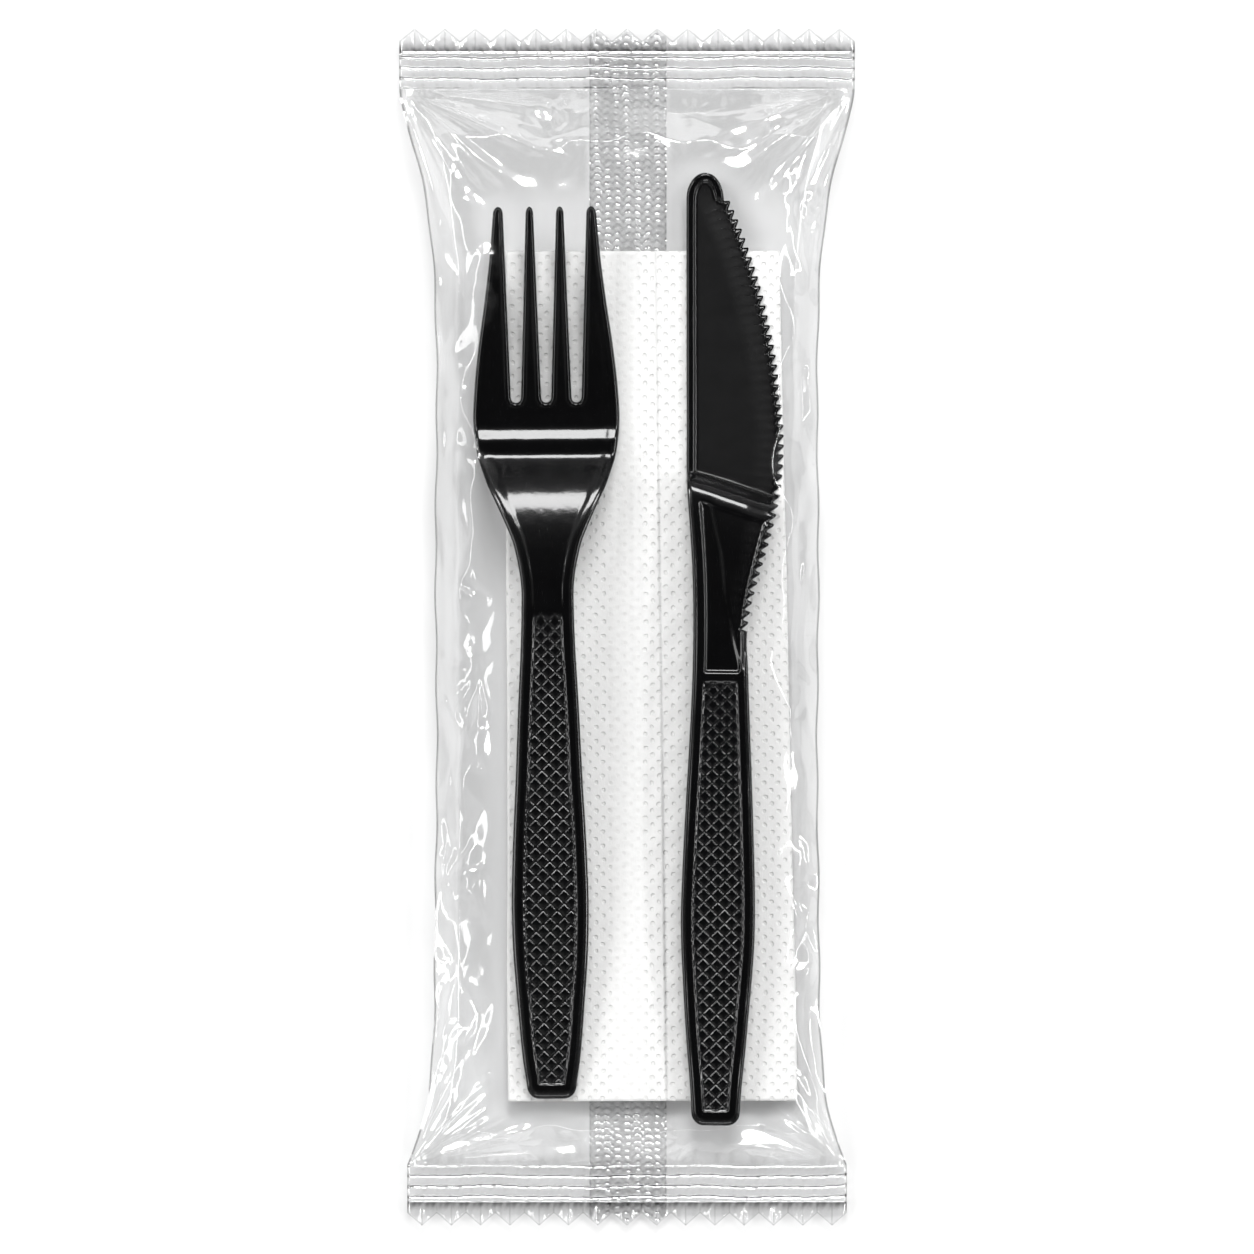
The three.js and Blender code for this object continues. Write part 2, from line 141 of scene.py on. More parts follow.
def distance_to(x: np.ndarray, y: np.ndarray, spans: np.ndarray, reach: float = 12.0) -> np.ndarray:
    """Distance in plan from each point to the nearest straight span, no more than reach.

    Points go in blocks of neighbouring rows, and each block meets only the spans near its rows.

    Args:
        x: Points across.
        y: Points along, of the same shape.
        spans: Start and end of each span.
        reach: Distances beyond this aren't told apart.

    Returns:
        The distances, in the shape of x.
    """
    flat = stacked(x, y)
    nearest = np.full(len(flat), reach)
    block = 2500
    low, high = spans[:, :, 1].min(axis=1), spans[:, :, 1].max(axis=1)
    for first in range(0, len(flat), block):
        part = flat[first : first + block]
        near = (high > part[:, 1].min() - reach) & (low < part[:, 1].max() + reach)
        if not near.any():
            continue
        start, step = spans[near, 0], spans[near, 1] - spans[near, 0]
        length = np.maximum((step**2).sum(axis=1), 1e-12)
        away_x = part[:, None, 0] - start[:, 0]
        away_y = part[:, None, 1] - start[:, 1]
        along = np.clip((away_x * step[:, 0] + away_y * step[:, 1]) / length, 0.0, 1.0)
        gap = (away_x - along * step[:, 0]) ** 2 + (away_y - along * step[:, 1]) ** 2
        nearest[first : first + block] = np.minimum(np.sqrt(gap.min(axis=1)), reach)
    return nearest.reshape(x.shape)


def pad_lattice(x: np.ndarray, y: np.ndarray, pitch: float) -> np.ndarray:
    """Height of a field of diamond pads parted by grooves, from 0 in a groove to 1 on a peak.

    The two groove families are the lines where (x + y)/pitch and (x - y)/pitch are whole; a pad
    rises with the distance to the nearer family.
    """
    return np.minimum(triangle_wave((x + y) / pitch), triangle_wave((x - y) / pitch))


# ---------------------------------------------------------------- meshes


def linked(name: str, data: Any) -> bpy.types.Object:
    """A new object that holds the data, in the scene."""
    made = bpy.data.objects.new(name, data)
    bpy.context.scene.collection.objects.link(made)
    return made
class Shell:
    """Points and four-cornered faces that become one mesh object."""

    def __init__(self, points: np.ndarray, faces: np.ndarray) -> None:
        """Keeps the points that a face uses.

        Args:
            points: Places in millimetres, one row each.
            faces: Four point numbers a row, counter-clockwise from outside.
        """
        used, packed = np.unique(faces, return_inverse=True)
        self.points = points[used]
        self.faces = packed.reshape(faces.shape)
        self.used = used
        self.fields: dict[str, np.ndarray] = {}

    def field(self, name: str, values: np.ndarray) -> "Shell":
        """Gives every point a number that the finish can read."""
        self.fields[name] = values.ravel()[self.used]
        return self

    def build(self, name: str) -> bpy.types.Object:
        """Makes the mesh object of that name, smooth-shaded, at the origin."""
        mesh = bpy.data.meshes.new(name)
        mesh.from_pydata((self.points * MM).tolist(), [], self.faces.tolist())
        for key, values in self.fields.items():
            layer = mesh.attributes.new(key, "FLOAT", "POINT")
            layer.data.foreach_set("value", values.astype(np.float32))
        mesh.polygons.foreach_set("use_smooth", np.ones(len(mesh.polygons), dtype=bool))
        mesh.update()
        return linked(name, mesh)


def cells(rows: int, columns: int, keep: np.ndarray | None = None) -> np.ndarray:
    """The faces of a grid of points, seen counter-clockwise from +Z.

    Args:
        rows: Points along Y.
        columns: Points along X.
        keep: Which cells exist; all of them when left out.

    Returns:
        Four point numbers for each cell.
    """
    number = np.arange(rows * columns).reshape(rows, columns)
    corners = [number[:-1, :-1], number[:-1, 1:], number[1:, 1:], number[1:, :-1]]
    faces = np.stack(corners, axis=-1)
    if keep is None:
        return faces.reshape(-1, 4)
    return faces[keep]


def open_edges(faces: np.ndarray) -> np.ndarray:
    """The directed edges of faces that no other face shares, two point numbers a row."""
    edges = np.stack([faces, np.roll(faces, -1, axis=1)], axis=-1).reshape(-1, 2)
    base = int(faces.max()) + 1
    code = edges[:, 0] * base + edges[:, 1]
    return edges[~np.isin(edges[:, 1] * base + edges[:, 0], code)]


def walled(
    x: np.ndarray, y: np.ndarray, top: np.ndarray, under: np.ndarray, keep: np.ndarray | None = None
) -> Shell:
    """A closed moulding: an upper and a lower surface over one plan grid, joined round every edge.

    Args:
        x: Plan positions across, a grid.
        y: Plan positions along.
        top: Height of the upper surface.
        under: Height of the lower surface.
        keep: Which grid cells exist; all of them when left out.

    Returns:
        The closed shell.
    """
    upper = cells(*x.shape, keep)
    count = x.size
    rim = open_edges(upper)
    walls = np.column_stack([rim[:, 1], rim[:, 0], rim[:, 0] + count, rim[:, 1] + count])
    faces = np.concatenate([upper, upper[:, ::-1] + count, walls])
    return Shell(np.concatenate([stacked(x, y, top), stacked(x, y, under)]), faces)


# ---------------------------------------------------------------- shader nodes


def math_node(operation: str) -> Callable[..., "Value"]:
    """A method that adds one Math node on self and another operand, a Value or a plain number."""

    def method(self: "Value", other: Any = 0.0) -> "Value":
        """The operation's result."""
        return self.board.node("Math", {0: self, 1: other}, operation=operation)

    return method


class Value:
    """A socket that adds Math nodes when it meets an operator."""

    __add__ = __radd__ = math_node("ADD")
    __mul__ = __rmul__ = math_node("MULTIPLY")
    __sub__ = math_node("SUBTRACT")
    __pow__ = math_node("POWER")
    lesser = math_node("MINIMUM")
    pingpong = math_node("PINGPONG")
    radian_cosine = math_node("COSINE")

    def __init__(self, board: "Board", socket: Any) -> None:
        """Wraps one output socket of a board's nodes."""
        self.board = board
        self.socket = socket

    def clamped(self) -> "Value":
        """self held between 0 and 1."""
        return self.board.node("Clamp", {"Value": self})

    def zigzag(self) -> "Value":
        """A wave of straight flanks: 0 at whole values and 1 half-way between."""
        return self.pingpong(0.5) * 2.0

    def cosine(self) -> "Value":
        """The cosine of self turns."""
        return (self * (2.0 * math.pi)).radian_cosine()

    def mapped(self, low: float, high: float, kind: str = "LINEAR", **ends: float) -> "Value":
        """A rise from To Min (0) at low to To Max (1) at high, of that interpolation."""
        values = {"Value": self, "From Min": low, "From Max": high}
        values.update({key.replace("_", " ").title(): end for key, end in ends.items()})
        return self.board.node("MapRange", values, interpolation_type=kind)

    def step(self, low: float, high: float) -> "Value":
        """A smooth step from 0 at low to 1 at high."""
        return self.mapped(low, high, "SMOOTHSTEP")


class Board:
    """The node tree of one material or world, filled from a clean output node."""

    def __init__(self, holder: Any) -> None:
        """Clears the holder's tree."""
        self.holder = holder
        holder.use_nodes = True
        self.tree = holder.node_tree
        self.tree.nodes.clear()

    def node(self, kind: str, values: dict[Any, Any] | None = None, out: Any = 0, **settings: Any) -> Value:
        """Adds any node: its settings first, then the values or links of its sockets.

        Args:
            kind: The node's Blender type, without its ShaderNode.
            values: Socket names or numbers, each with a plain value or another node's Value.
            out: Which output is returned.
            **settings: Properties of the node.

        Returns:
            The chosen output.
        """
        made = self.tree.nodes.new("ShaderNode" + kind)
        for key, setting in settings.items():
            setattr(made, key, setting)
        for key, given in (values or {}).items():
            if isinstance(given, Value):
                self.tree.links.new(given.socket, made.inputs[key])
            else:
                made.inputs[key].default_value = given
        return Value(self, made.outputs[out] if len(made.outputs) else None)

    def place(self) -> Value:
        """The point's place in the object's own metres."""
        return self.node("TexCoord", out="Object")

    def noise(self, scale: float, detail: float = 2.0, stretch: Sequence[float] = (1, 1, 1)) -> Value:
        """Cloudy noise from 0 to 1, scale cycles to the metre, squeezed by stretch."""
        where = self.node("Mapping", {"Vector": self.place(), "Scale": stretch})
        return self.node("TexNoise", {"Vector": where, "Scale": scale, "Detail": detail})

    def axes(self) -> tuple[Value, Value]:
        """The point's X and Y in the object's own millimetres."""
        x, y = (self.node("SeparateXYZ", {"Vector": self.place()}, axis) for axis in "XY")
        return x * (1.0 / MM), y * (1.0 / MM)

    def crossed(self, x: Value, y: Value, pitch: float) -> tuple[Value, Value]:
        """Phases of two families of slanting lines, (x + y) / pitch and (x - y) / pitch."""
        return (x + y) * (1.0 / pitch), (x - y) * (1.0 / pitch)

    def field(self, name: str) -> Value:
        """A number that the mesh carries at its points."""
        return self.node("Attribute", out="Fac", attribute_name=name)

    def blend(self, share: Value, first: Sequence[float], second: Sequence[float]) -> Value:
        """A colour between two, by share."""
        mixed = {0: share, 6: (*first, 1.0), 7: (*second, 1.0)}
        return self.node("Mix", mixed, 2, data_type="RGBA")

    def relief(self, height: Value, depth: float) -> Value:
        """A bumped normal from a height in units of depth metres."""
        return self.node("Bump", {"Strength": 1.0, "Distance": depth, "Height": height})

    def principled(self, colour: Value, rough: Any, **inputs: Any) -> Value:
        """A Principled surface; an input's name is written with underscores."""
        values = {"Base Color": colour, "Roughness": rough}
        values.update({key.replace("_", " "): given for key, given in inputs.items()})
        return self.node("BsdfPrincipled", values)

    def finish(self, surface: Value, output: str = "OutputMaterial") -> Any:
        """Joins the surface to the output and hands the holder over."""
        self.node(output, {"Surface": surface})
        return self.holder


@dataclass(frozen=True)
class Finish:
    """A named finish that becomes a material."""

    name: str

    def board(self) -> Board:
        """An empty board of that name."""
        return Board(bpy.data.materials.new(self.name))


@dataclass(frozen=True)
class MouldedPlastic(Finish):
    """Black polystyrene: deep black, glossy, satin where the mould was spark-finished."""

    black: tuple[float, float, float] = (0.002, 0.002, 0.0022)
    gloss: float = 0.1
    satin: float = 0.31
    index: float = 1.5
    pad_pitch: float = 2.8
    pad_depth: float = 0.1

    def material(self) -> bpy.types.Material:
        """Gloss by the mesh's satin field, crisp pads on its panel, a faint flow unevenness.

        The pads' edges follow the mesh's own across and along fields, as the relief does.
        """
        board = self.board()
        uneven = board.noise(260.0, 3.0)
        grain = board.noise(9000.0)
        worn = board.noise(700.0)
        matte = board.field("satin")
        rising, falling = board.crossed(board.field("across"), board.field("along"), self.pad_pitch)
        raised = rising.zigzag().lesser(falling.zigzag()).step(0.06, 0.36)
        pads = raised * board.field("panel") * (0.55 + worn * 0.8).clamped()
        rough = self.gloss + matte * (self.satin - self.gloss) + uneven * 0.04
        height = pads * self.pad_depth + uneven * 0.05 + grain * 0.0012 * (0.2 + matte)
        colour = board.blend(uneven, self.black, tuple(1.6 * c for c in self.black))
        return board.finish(board.principled(colour, rough, IOR=self.index, Normal=board.relief(height, MM)))


@dataclass(frozen=True)
class EmbossedTissue(Finish):
    """Soft white tissue, matte and slightly fibrous, embossed all over with staggered dimples."""

    white: tuple[float, float, float] = (0.83, 0.83, 0.823)
    # the darker tissue tone: real fibre mottling, and the painted shade in the dimples
    shade: tuple[float, float, float] = (0.73, 0.726, 0.716)
    dimple_pitch: float = 2.8
    dimple_depth: float = 0.12

    def material(self) -> bpy.types.Material:
        """Fibre mottling in colour, and dimples where two crossed cosine waves both peak, their hollows also
        painted darker as painted shade.
        """
        board = self.board()
        cloud = board.noise(900.0, 4.0)
        sway = board.noise(300.0, 1.0)
        fibre = board.noise(5200.0, 3.0, (1.0, 0.35, 1.0))
        x, y = board.axes()
        rising, falling = board.crossed(x + sway * 1.1, y + cloud * 0.7, self.dimple_pitch)
        dimple = (rising.cosine() + falling.cosine()).step(0.9, 1.8)
        height = fibre * 0.05 - dimple * self.dimple_depth * (0.3 + board.field("embossed"))
        # cloud gives real fibre mottling; dimple darkens the colour in each hollow, painted shade
        colour = board.blend((0.3 + cloud * 0.9 - dimple * 0.4).clamped(), self.shade, self.white)
        normal = board.relief(height, MM)
        soft = board.principled(colour, 0.88 + 0.1 * fibre, IOR=1.35, Sheen_Weight=0.1, Normal=normal)
        return board.finish(soft)


@dataclass(frozen=True)
class ClearFilm(Finish):
    """Clear glossy film: mostly see-through, with a mirror share that grows towards grazing."""

    clear: tuple[float, float, float] = (0.988, 0.989, 0.99)
    mirror: float = 0.04
    density_and_shade: float = 0.13
    haze: float = 0.012
    rough: float = 0.09
    grazing: float = 3.0
    sheen: float = 1.0

    def material(self) -> bpy.types.Material:
        """A share of mirror, m + (1 - m) x facing^grazing, over clear film.

        The mesh's density and shade field, up to 1 where the film is creased or crimped, adds to
        the mirror, and a little cloudy haze does too. Past 1, along a cut or a fold, the mirror
        darkens: painted shade, a painted dark line along the edge.
        """
        board = self.board()
        facing = board.node("LayerWeight", {"Blend": 0.5}, "Facing")
        cloud = board.noise(140.0, 3.0, (1.0, 0.4, 1.0))
        fine = board.noise(900.0, 2.0, (1.0, 0.5, 1.0))
        density_and_shade = board.field("density_and_shade")
        share = self.mirror + (1.0 - self.mirror) * facing**self.grazing
        share = (share + density_and_shade * self.density_and_shade + self.haze * cloud).clamped()
        # past 1 the mirror colour falls to 0.3 of its sheen: painted shade, dark lines along cuts, folds,
        # grooves and dents
        shade_dimmed_mirror = board.blend((density_and_shade - 1.0).clamped(), (self.sheen,) * 3, (0.3 * self.sheen,) * 3)
        normal = board.relief(cloud * 0.16 + fine * 0.02, MM)
        gloss = board.principled(shade_dimmed_mirror, self.rough + 0.06 * fine, Metallic=1.0, Normal=normal)
        see_through = board.node("BsdfTransparent", {"Color": (*self.clear, 1.0)})
        return board.finish(board.node("MixShader", {0: share, 1: see_through, 2: gloss}))


@dataclass(frozen=True)
class StudioFloor(Finish):
    """The pale table that the pack lies on."""

    name: str = "studio_table"
    pale: tuple[float, float, float] = (0.72, 0.72, 0.72)

    def material(self) -> bpy.types.Material:
        """Plain matte white with a faint mottling."""
        board = self.board()
        colour = board.blend(board.noise(6.0), self.pale, tuple(1.01 * c for c in self.pale))
        return board.finish(board.principled(colour, 0.9, Specular_IOR_Level=0.1))


# ---------------------------------------------------------------- shared by the pieces


@dataclass(frozen=True)
class Lie:
    """How a piece lies in the pack: the place of its own origin and its turn about Z."""

    x: float
    y: float
    z: float
    turn: float

    def put(self, points: np.ndarray) -> np.ndarray:
        """Turns rows of x, y, z by the angle and moves them to the place."""
        cosine, sine = math.cos(self.turn), math.sin(self.turn)
        spin = np.array([[cosine, -sine, 0.0], [sine, cosine, 0.0], [0.0, 0.0, 1.0]])
        return points @ spin.T + np.array([self.x, self.y, self.z])


def both_sides(shell: Shell, **fields: np.ndarray) -> None:
    """Gives a walled shell its fields, the same above and below."""
    for name, values in fields.items():
        shell.field(name, np.concatenate([values.ravel(), values.ravel()]))


def heights(along: np.ndarray, start: float, facing: Knots) -> np.ndarray:
    """Height along a piece from how far its surface faces +Y, in degrees, at some stations.

    Going along Y the surface falls by the tangent of that angle, so the height is the start
    less the running sum of the tangents.
    """
    fine = np.linspace(facing[0][0], facing[-1][0], 1200)
    fall = np.tan(np.radians(through(fine, facing)))
    steps = 0.5 * (fall[1:] + fall[:-1]) * np.diff(fine)
    return np.interp(along, fine, start - np.concatenate([[0.0], np.cumsum(steps)]))


def rounded(distance: np.ndarray, radius: float) -> np.ndarray:
    """How far an edge of that radius drops a surface at a distance inside the outline."""
    inside = np.clip(radius - distance, 0.0, radius)
    return radius - np.sqrt(np.maximum(radius**2 - inside**2, 0.0))


def underside(node: str) -> float:
    """The lowest height of a construction node, in millimetres."""
    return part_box(node)[0].z / MM


def dress(piece: bpy.types.Object, finish: Any, slot: str, *nodes: str) -> bpy.types.Object:
    """Gives a piece its finish and its body, and hides the construction nodes it stands for."""
    piece.data.materials.append(finish.material())
    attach(piece, "root")
    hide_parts(*nodes)
    return piece


@dataclass
class Moulding:
    """What the fork and the knife share: walls, rounded edges and a textured handle panel.

    A flat-topped rim runs inside the outline, with a chamfer on each side. Behind it the panel is
    sunk by panel_depth, with diamond pads. The sink field sets a piece into the napkin's tissue.
    """

    node: str = "fork"
    wall: float = 1.6
    edge_radius: float = 0.62
    rim: float = 2.5
    rim_height: float = 0.15
    end_radius: float = 2.5
    panel_start: float = 2.8
    panel_end: float = 96.0
    panel_fade: tuple[float, float] = (1.0, 1.5)
    panel_depth: float = 0.5
    pad_pitch: float = 2.8
    pad_height: float = 0.12
    sink: float = 0.15
    turn: float = 0.0081
    handle_end: tuple[float, float] = (-15.0, -94.2)

    def handle(self, stop: float, step: float) -> np.ndarray:
        """Rows along the handle, crowded at its rounded end."""
        end = self.end_radius * spread_evenly(13)[:7] * 2.0
        return np.concatenate([end, np.arange(end[-1] + 0.25, stop, step)])

    def panel(self, y: np.ndarray, to_side: np.ndarray) -> np.ndarray:
        """1 inside the handle's sunk panel and 0 outside it."""
        before, after = self.panel_fade
        inside = ledge(to_side, self.rim - 0.2) * ledge(y, self.panel_start - 0.1)
        return inside * (1.0 - ease(y, self.panel_end - before, self.panel_end + after))

    def sunk(self, x: np.ndarray, y: np.ndarray, panel: np.ndarray) -> np.ndarray:
        """Height of the panel's floor and pads."""
        return panel * (self.pad_height * pad_lattice(x, y, self.pad_pitch) - self.panel_depth)

    def rims(self, to_side: np.ndarray) -> np.ndarray:
        """Height of the rim inside the outline."""
        return self.rim_height * ramp(to_side, 0.6, 0.92)

    def mould(self, shell: Shell, **fields: np.ndarray) -> bpy.types.Object:
        """Gives the closed shell its fields and its finish, in its place on the napkin."""
        both_sides(shell, **fields)
        level = underside(self.node) - self.sink
        shell.points = Lie(*self.handle_end, level, self.turn).put(shell.points)
        finish = MouldedPlastic(f"black_plastic_{self.node}")
        return dress(shell.build(f"{self.node}_moulding"), finish, "black_plastic", self.node)


# ---------------------------------------------------------------- fork


@dataclass
class Fork(Moulding):
    """The fork: four tines, a dished head with a rolled rim, a cranked neck, a textured handle."""

    length: float = 178.0
    slot_pitch: float = 6.05
    slot_tip_half: float = 2.3
    slot_root_half: float = 1.0
    slot_root: float = 140.0
    tip_round: float = 1.4
    start_height: float = 0.95
    columns: Sequence[int] = (17, 7, 13, 7, 13, 7, 17)
    half_width: Knots = (
        (0.0, 4.9), (2.0, 4.95), (7.6, 5.7), (18.8, 6.7), (30.0, 7.5), (38.4, 7.7), (49.6, 7.4),
        (63.6, 6.7), (79.6, 6.0), (91.6, 5.4), (97.0, 5.25), (102.8, 5.3), (108.4, 6.2),
        (111.2, 6.9), (114.0, 8.0), (119.6, 10.5), (122.4, 11.8), (125.2, 12.8), (128.0, 13.7),
        (131.5, 14.3), (135.0, 14.6), (142.0, 14.3), (150.4, 13.4), (158.8, 12.2),
        (167.6, 11.1), (178.0, 10.2),
    )
    facing: Knots = (
        (0.0, -7.0), (60.0, -6.0), (85.0, -4.0), (98.0, 0.0), (104.0, 5.0), (110.0, 9.0),
        (114.0, 12.0), (121.6, 26.0), (123.0, 31.0), (127.0, 32.0), (128.3, 20.0), (129.2, 5.0),
        (131.0, 4.0), (131.8, 18.0), (133.2, 20.0), (134.2, 8.0), (136.0, 0.0), (140.0, -4.0),
        (150.0, -8.0), (165.0, -9.0), (178.0, -9.0),
    )

    def stations(self) -> np.ndarray:
        """Rows along the fork: fine over the textured panel, crowded at the rounded ends."""
        head = np.linspace(98.4, self.slot_root, 84)
        tines = np.linspace(self.slot_root + 0.6, self.length - self.tip_round, 56)
        tips = self.length - self.tip_round * (1.0 - np.sin(np.linspace(0.2, math.pi / 2, 7)))
        return np.concatenate([self.handle(98.0, 0.25), head, tines, tips])

    def edges(self, y: np.ndarray) -> np.ndarray:
        """The eight edge lines of the four tines, narrowing to scaled copies down the handle.

        Returns:
            One row for each station and one column for each edge, from left to right.
        """
        half = through(y, self.half_width)
        corner = np.clip(self.end_radius - y, 0.0, self.end_radius)
        half = half - rounded(self.end_radius - corner, self.end_radius)
        at_root = through(np.array([self.slot_root]), self.half_width)[0]
        scale = np.where(y < self.slot_root, half / at_root, 1.0)
        open_share = ramp(y, self.slot_root, self.length)
        slot = self.slot_root_half + (self.slot_tip_half - self.slot_root_half) * open_share
        lines = [-half]
        for place in (-1, 0, 1):
            lines.append((place * self.slot_pitch - slot) * scale)
            lines.append((place * self.slot_pitch + slot) * scale)
        lines.append(half)
        edge = np.stack(lines, axis=1)
        past = np.clip((y - self.length + self.tip_round) / self.tip_round, 0.0, 0.99)
        shrink = np.sqrt(1.0 - past**2)[:, None]
        for left in range(0, 8, 2):
            middle = edge[:, left : left + 2].mean(axis=1, keepdims=True)
            edge[:, left : left + 2] = middle + (edge[:, left : left + 2] - middle) * shrink
        return edge

    def plan(self) -> tuple[np.ndarray, np.ndarray, np.ndarray]:
        """The plan grid: columns fill each tine and each slot, and rows bend round the slot roots.

        Returns:
            Positions across, positions along and which cells exist.
        """
        y_rows = self.stations()
        edge = self.edges(y_rows)
        across, is_slot = [], []
        for group, count in enumerate(self.columns):
            share = spread_evenly(count)
            if group < len(self.columns) - 1:
                share = share[:-1]
            left, right = edge[:, group, None], edge[:, group + 1, None]
            across.append(left + (right - left) * share)
            is_slot.extend([group % 2 == 1] * len(share))
        x = np.concatenate(across, axis=1)
        y = np.repeat(y_rows[:, None], x.shape[1], axis=1)
        bend = ease(y_rows, self.slot_root - 7.0, self.slot_root)[:, None]
        for place in (-1, 0, 1):
            root = edge[:, 2 * place + 3 : 2 * place + 5]
            middle = root.mean(axis=1, keepdims=True)
            radius = (root[:, 1:] - root[:, :1]) / 2
            y = y - bend * np.sqrt(np.maximum(radius**2 - (x - middle) ** 2, 0.0))
        beyond = y_rows[:-1, None] >= self.slot_root - 1e-6
        keep = ~(beyond & np.array(is_slot[:-1])[None, :])
        return x, y, keep

    def relief(self, x: np.ndarray, y: np.ndarray, to_side: np.ndarray, panel: np.ndarray) -> np.ndarray:
        """Height of the moulded detail above the plain upper surface.

        Past the panel the neck and the head are dished inside the rim, and all of it fades
        towards the tines.
        """
        fade = 1.0 - ease(y, 120.0, 176.0)
        dish = 0.15 * ramp(to_side, 2.1, 2.42) * ease(y, self.panel_end + 1.0, self.panel_end + 4.0)
        return self.rims(to_side) * (0.45 + 0.55 * fade) + self.sunk(x, y, panel) - dish * fade

    def build(self) -> bpy.types.Object:
        """Makes the fork as one closed moulding."""
        x, y, keep = self.plan()
        outline = np.concatenate([stacked(x[::-1, 0], y[::-1, 0]), stacked(x[:, -1], y[:, -1])])
        to_side = distance_to(x, y, links(outline))
        rim = open_edges(cells(*x.shape, keep))
        chain = distance_to(x, y, stacked(x, y)[rim], 3.0)
        middle = heights(y, self.start_height, self.facing)
        drop = rounded(chain, self.edge_radius)
        panel = self.panel(y, to_side)
        slot_roll = 0.2 * mound(chain, 0.55, 0.5) * ease(y, 128.0, 134.0)
        top = middle + self.wall / 2 + self.relief(x, y, to_side, panel) + slot_roll - drop
        shell = walled(x, y, top, middle - self.wall / 2 + drop, keep)
        return self.mould(shell, satin=np.zeros_like(x), panel=panel, across=x, along=y)


# ---------------------------------------------------------------- knife


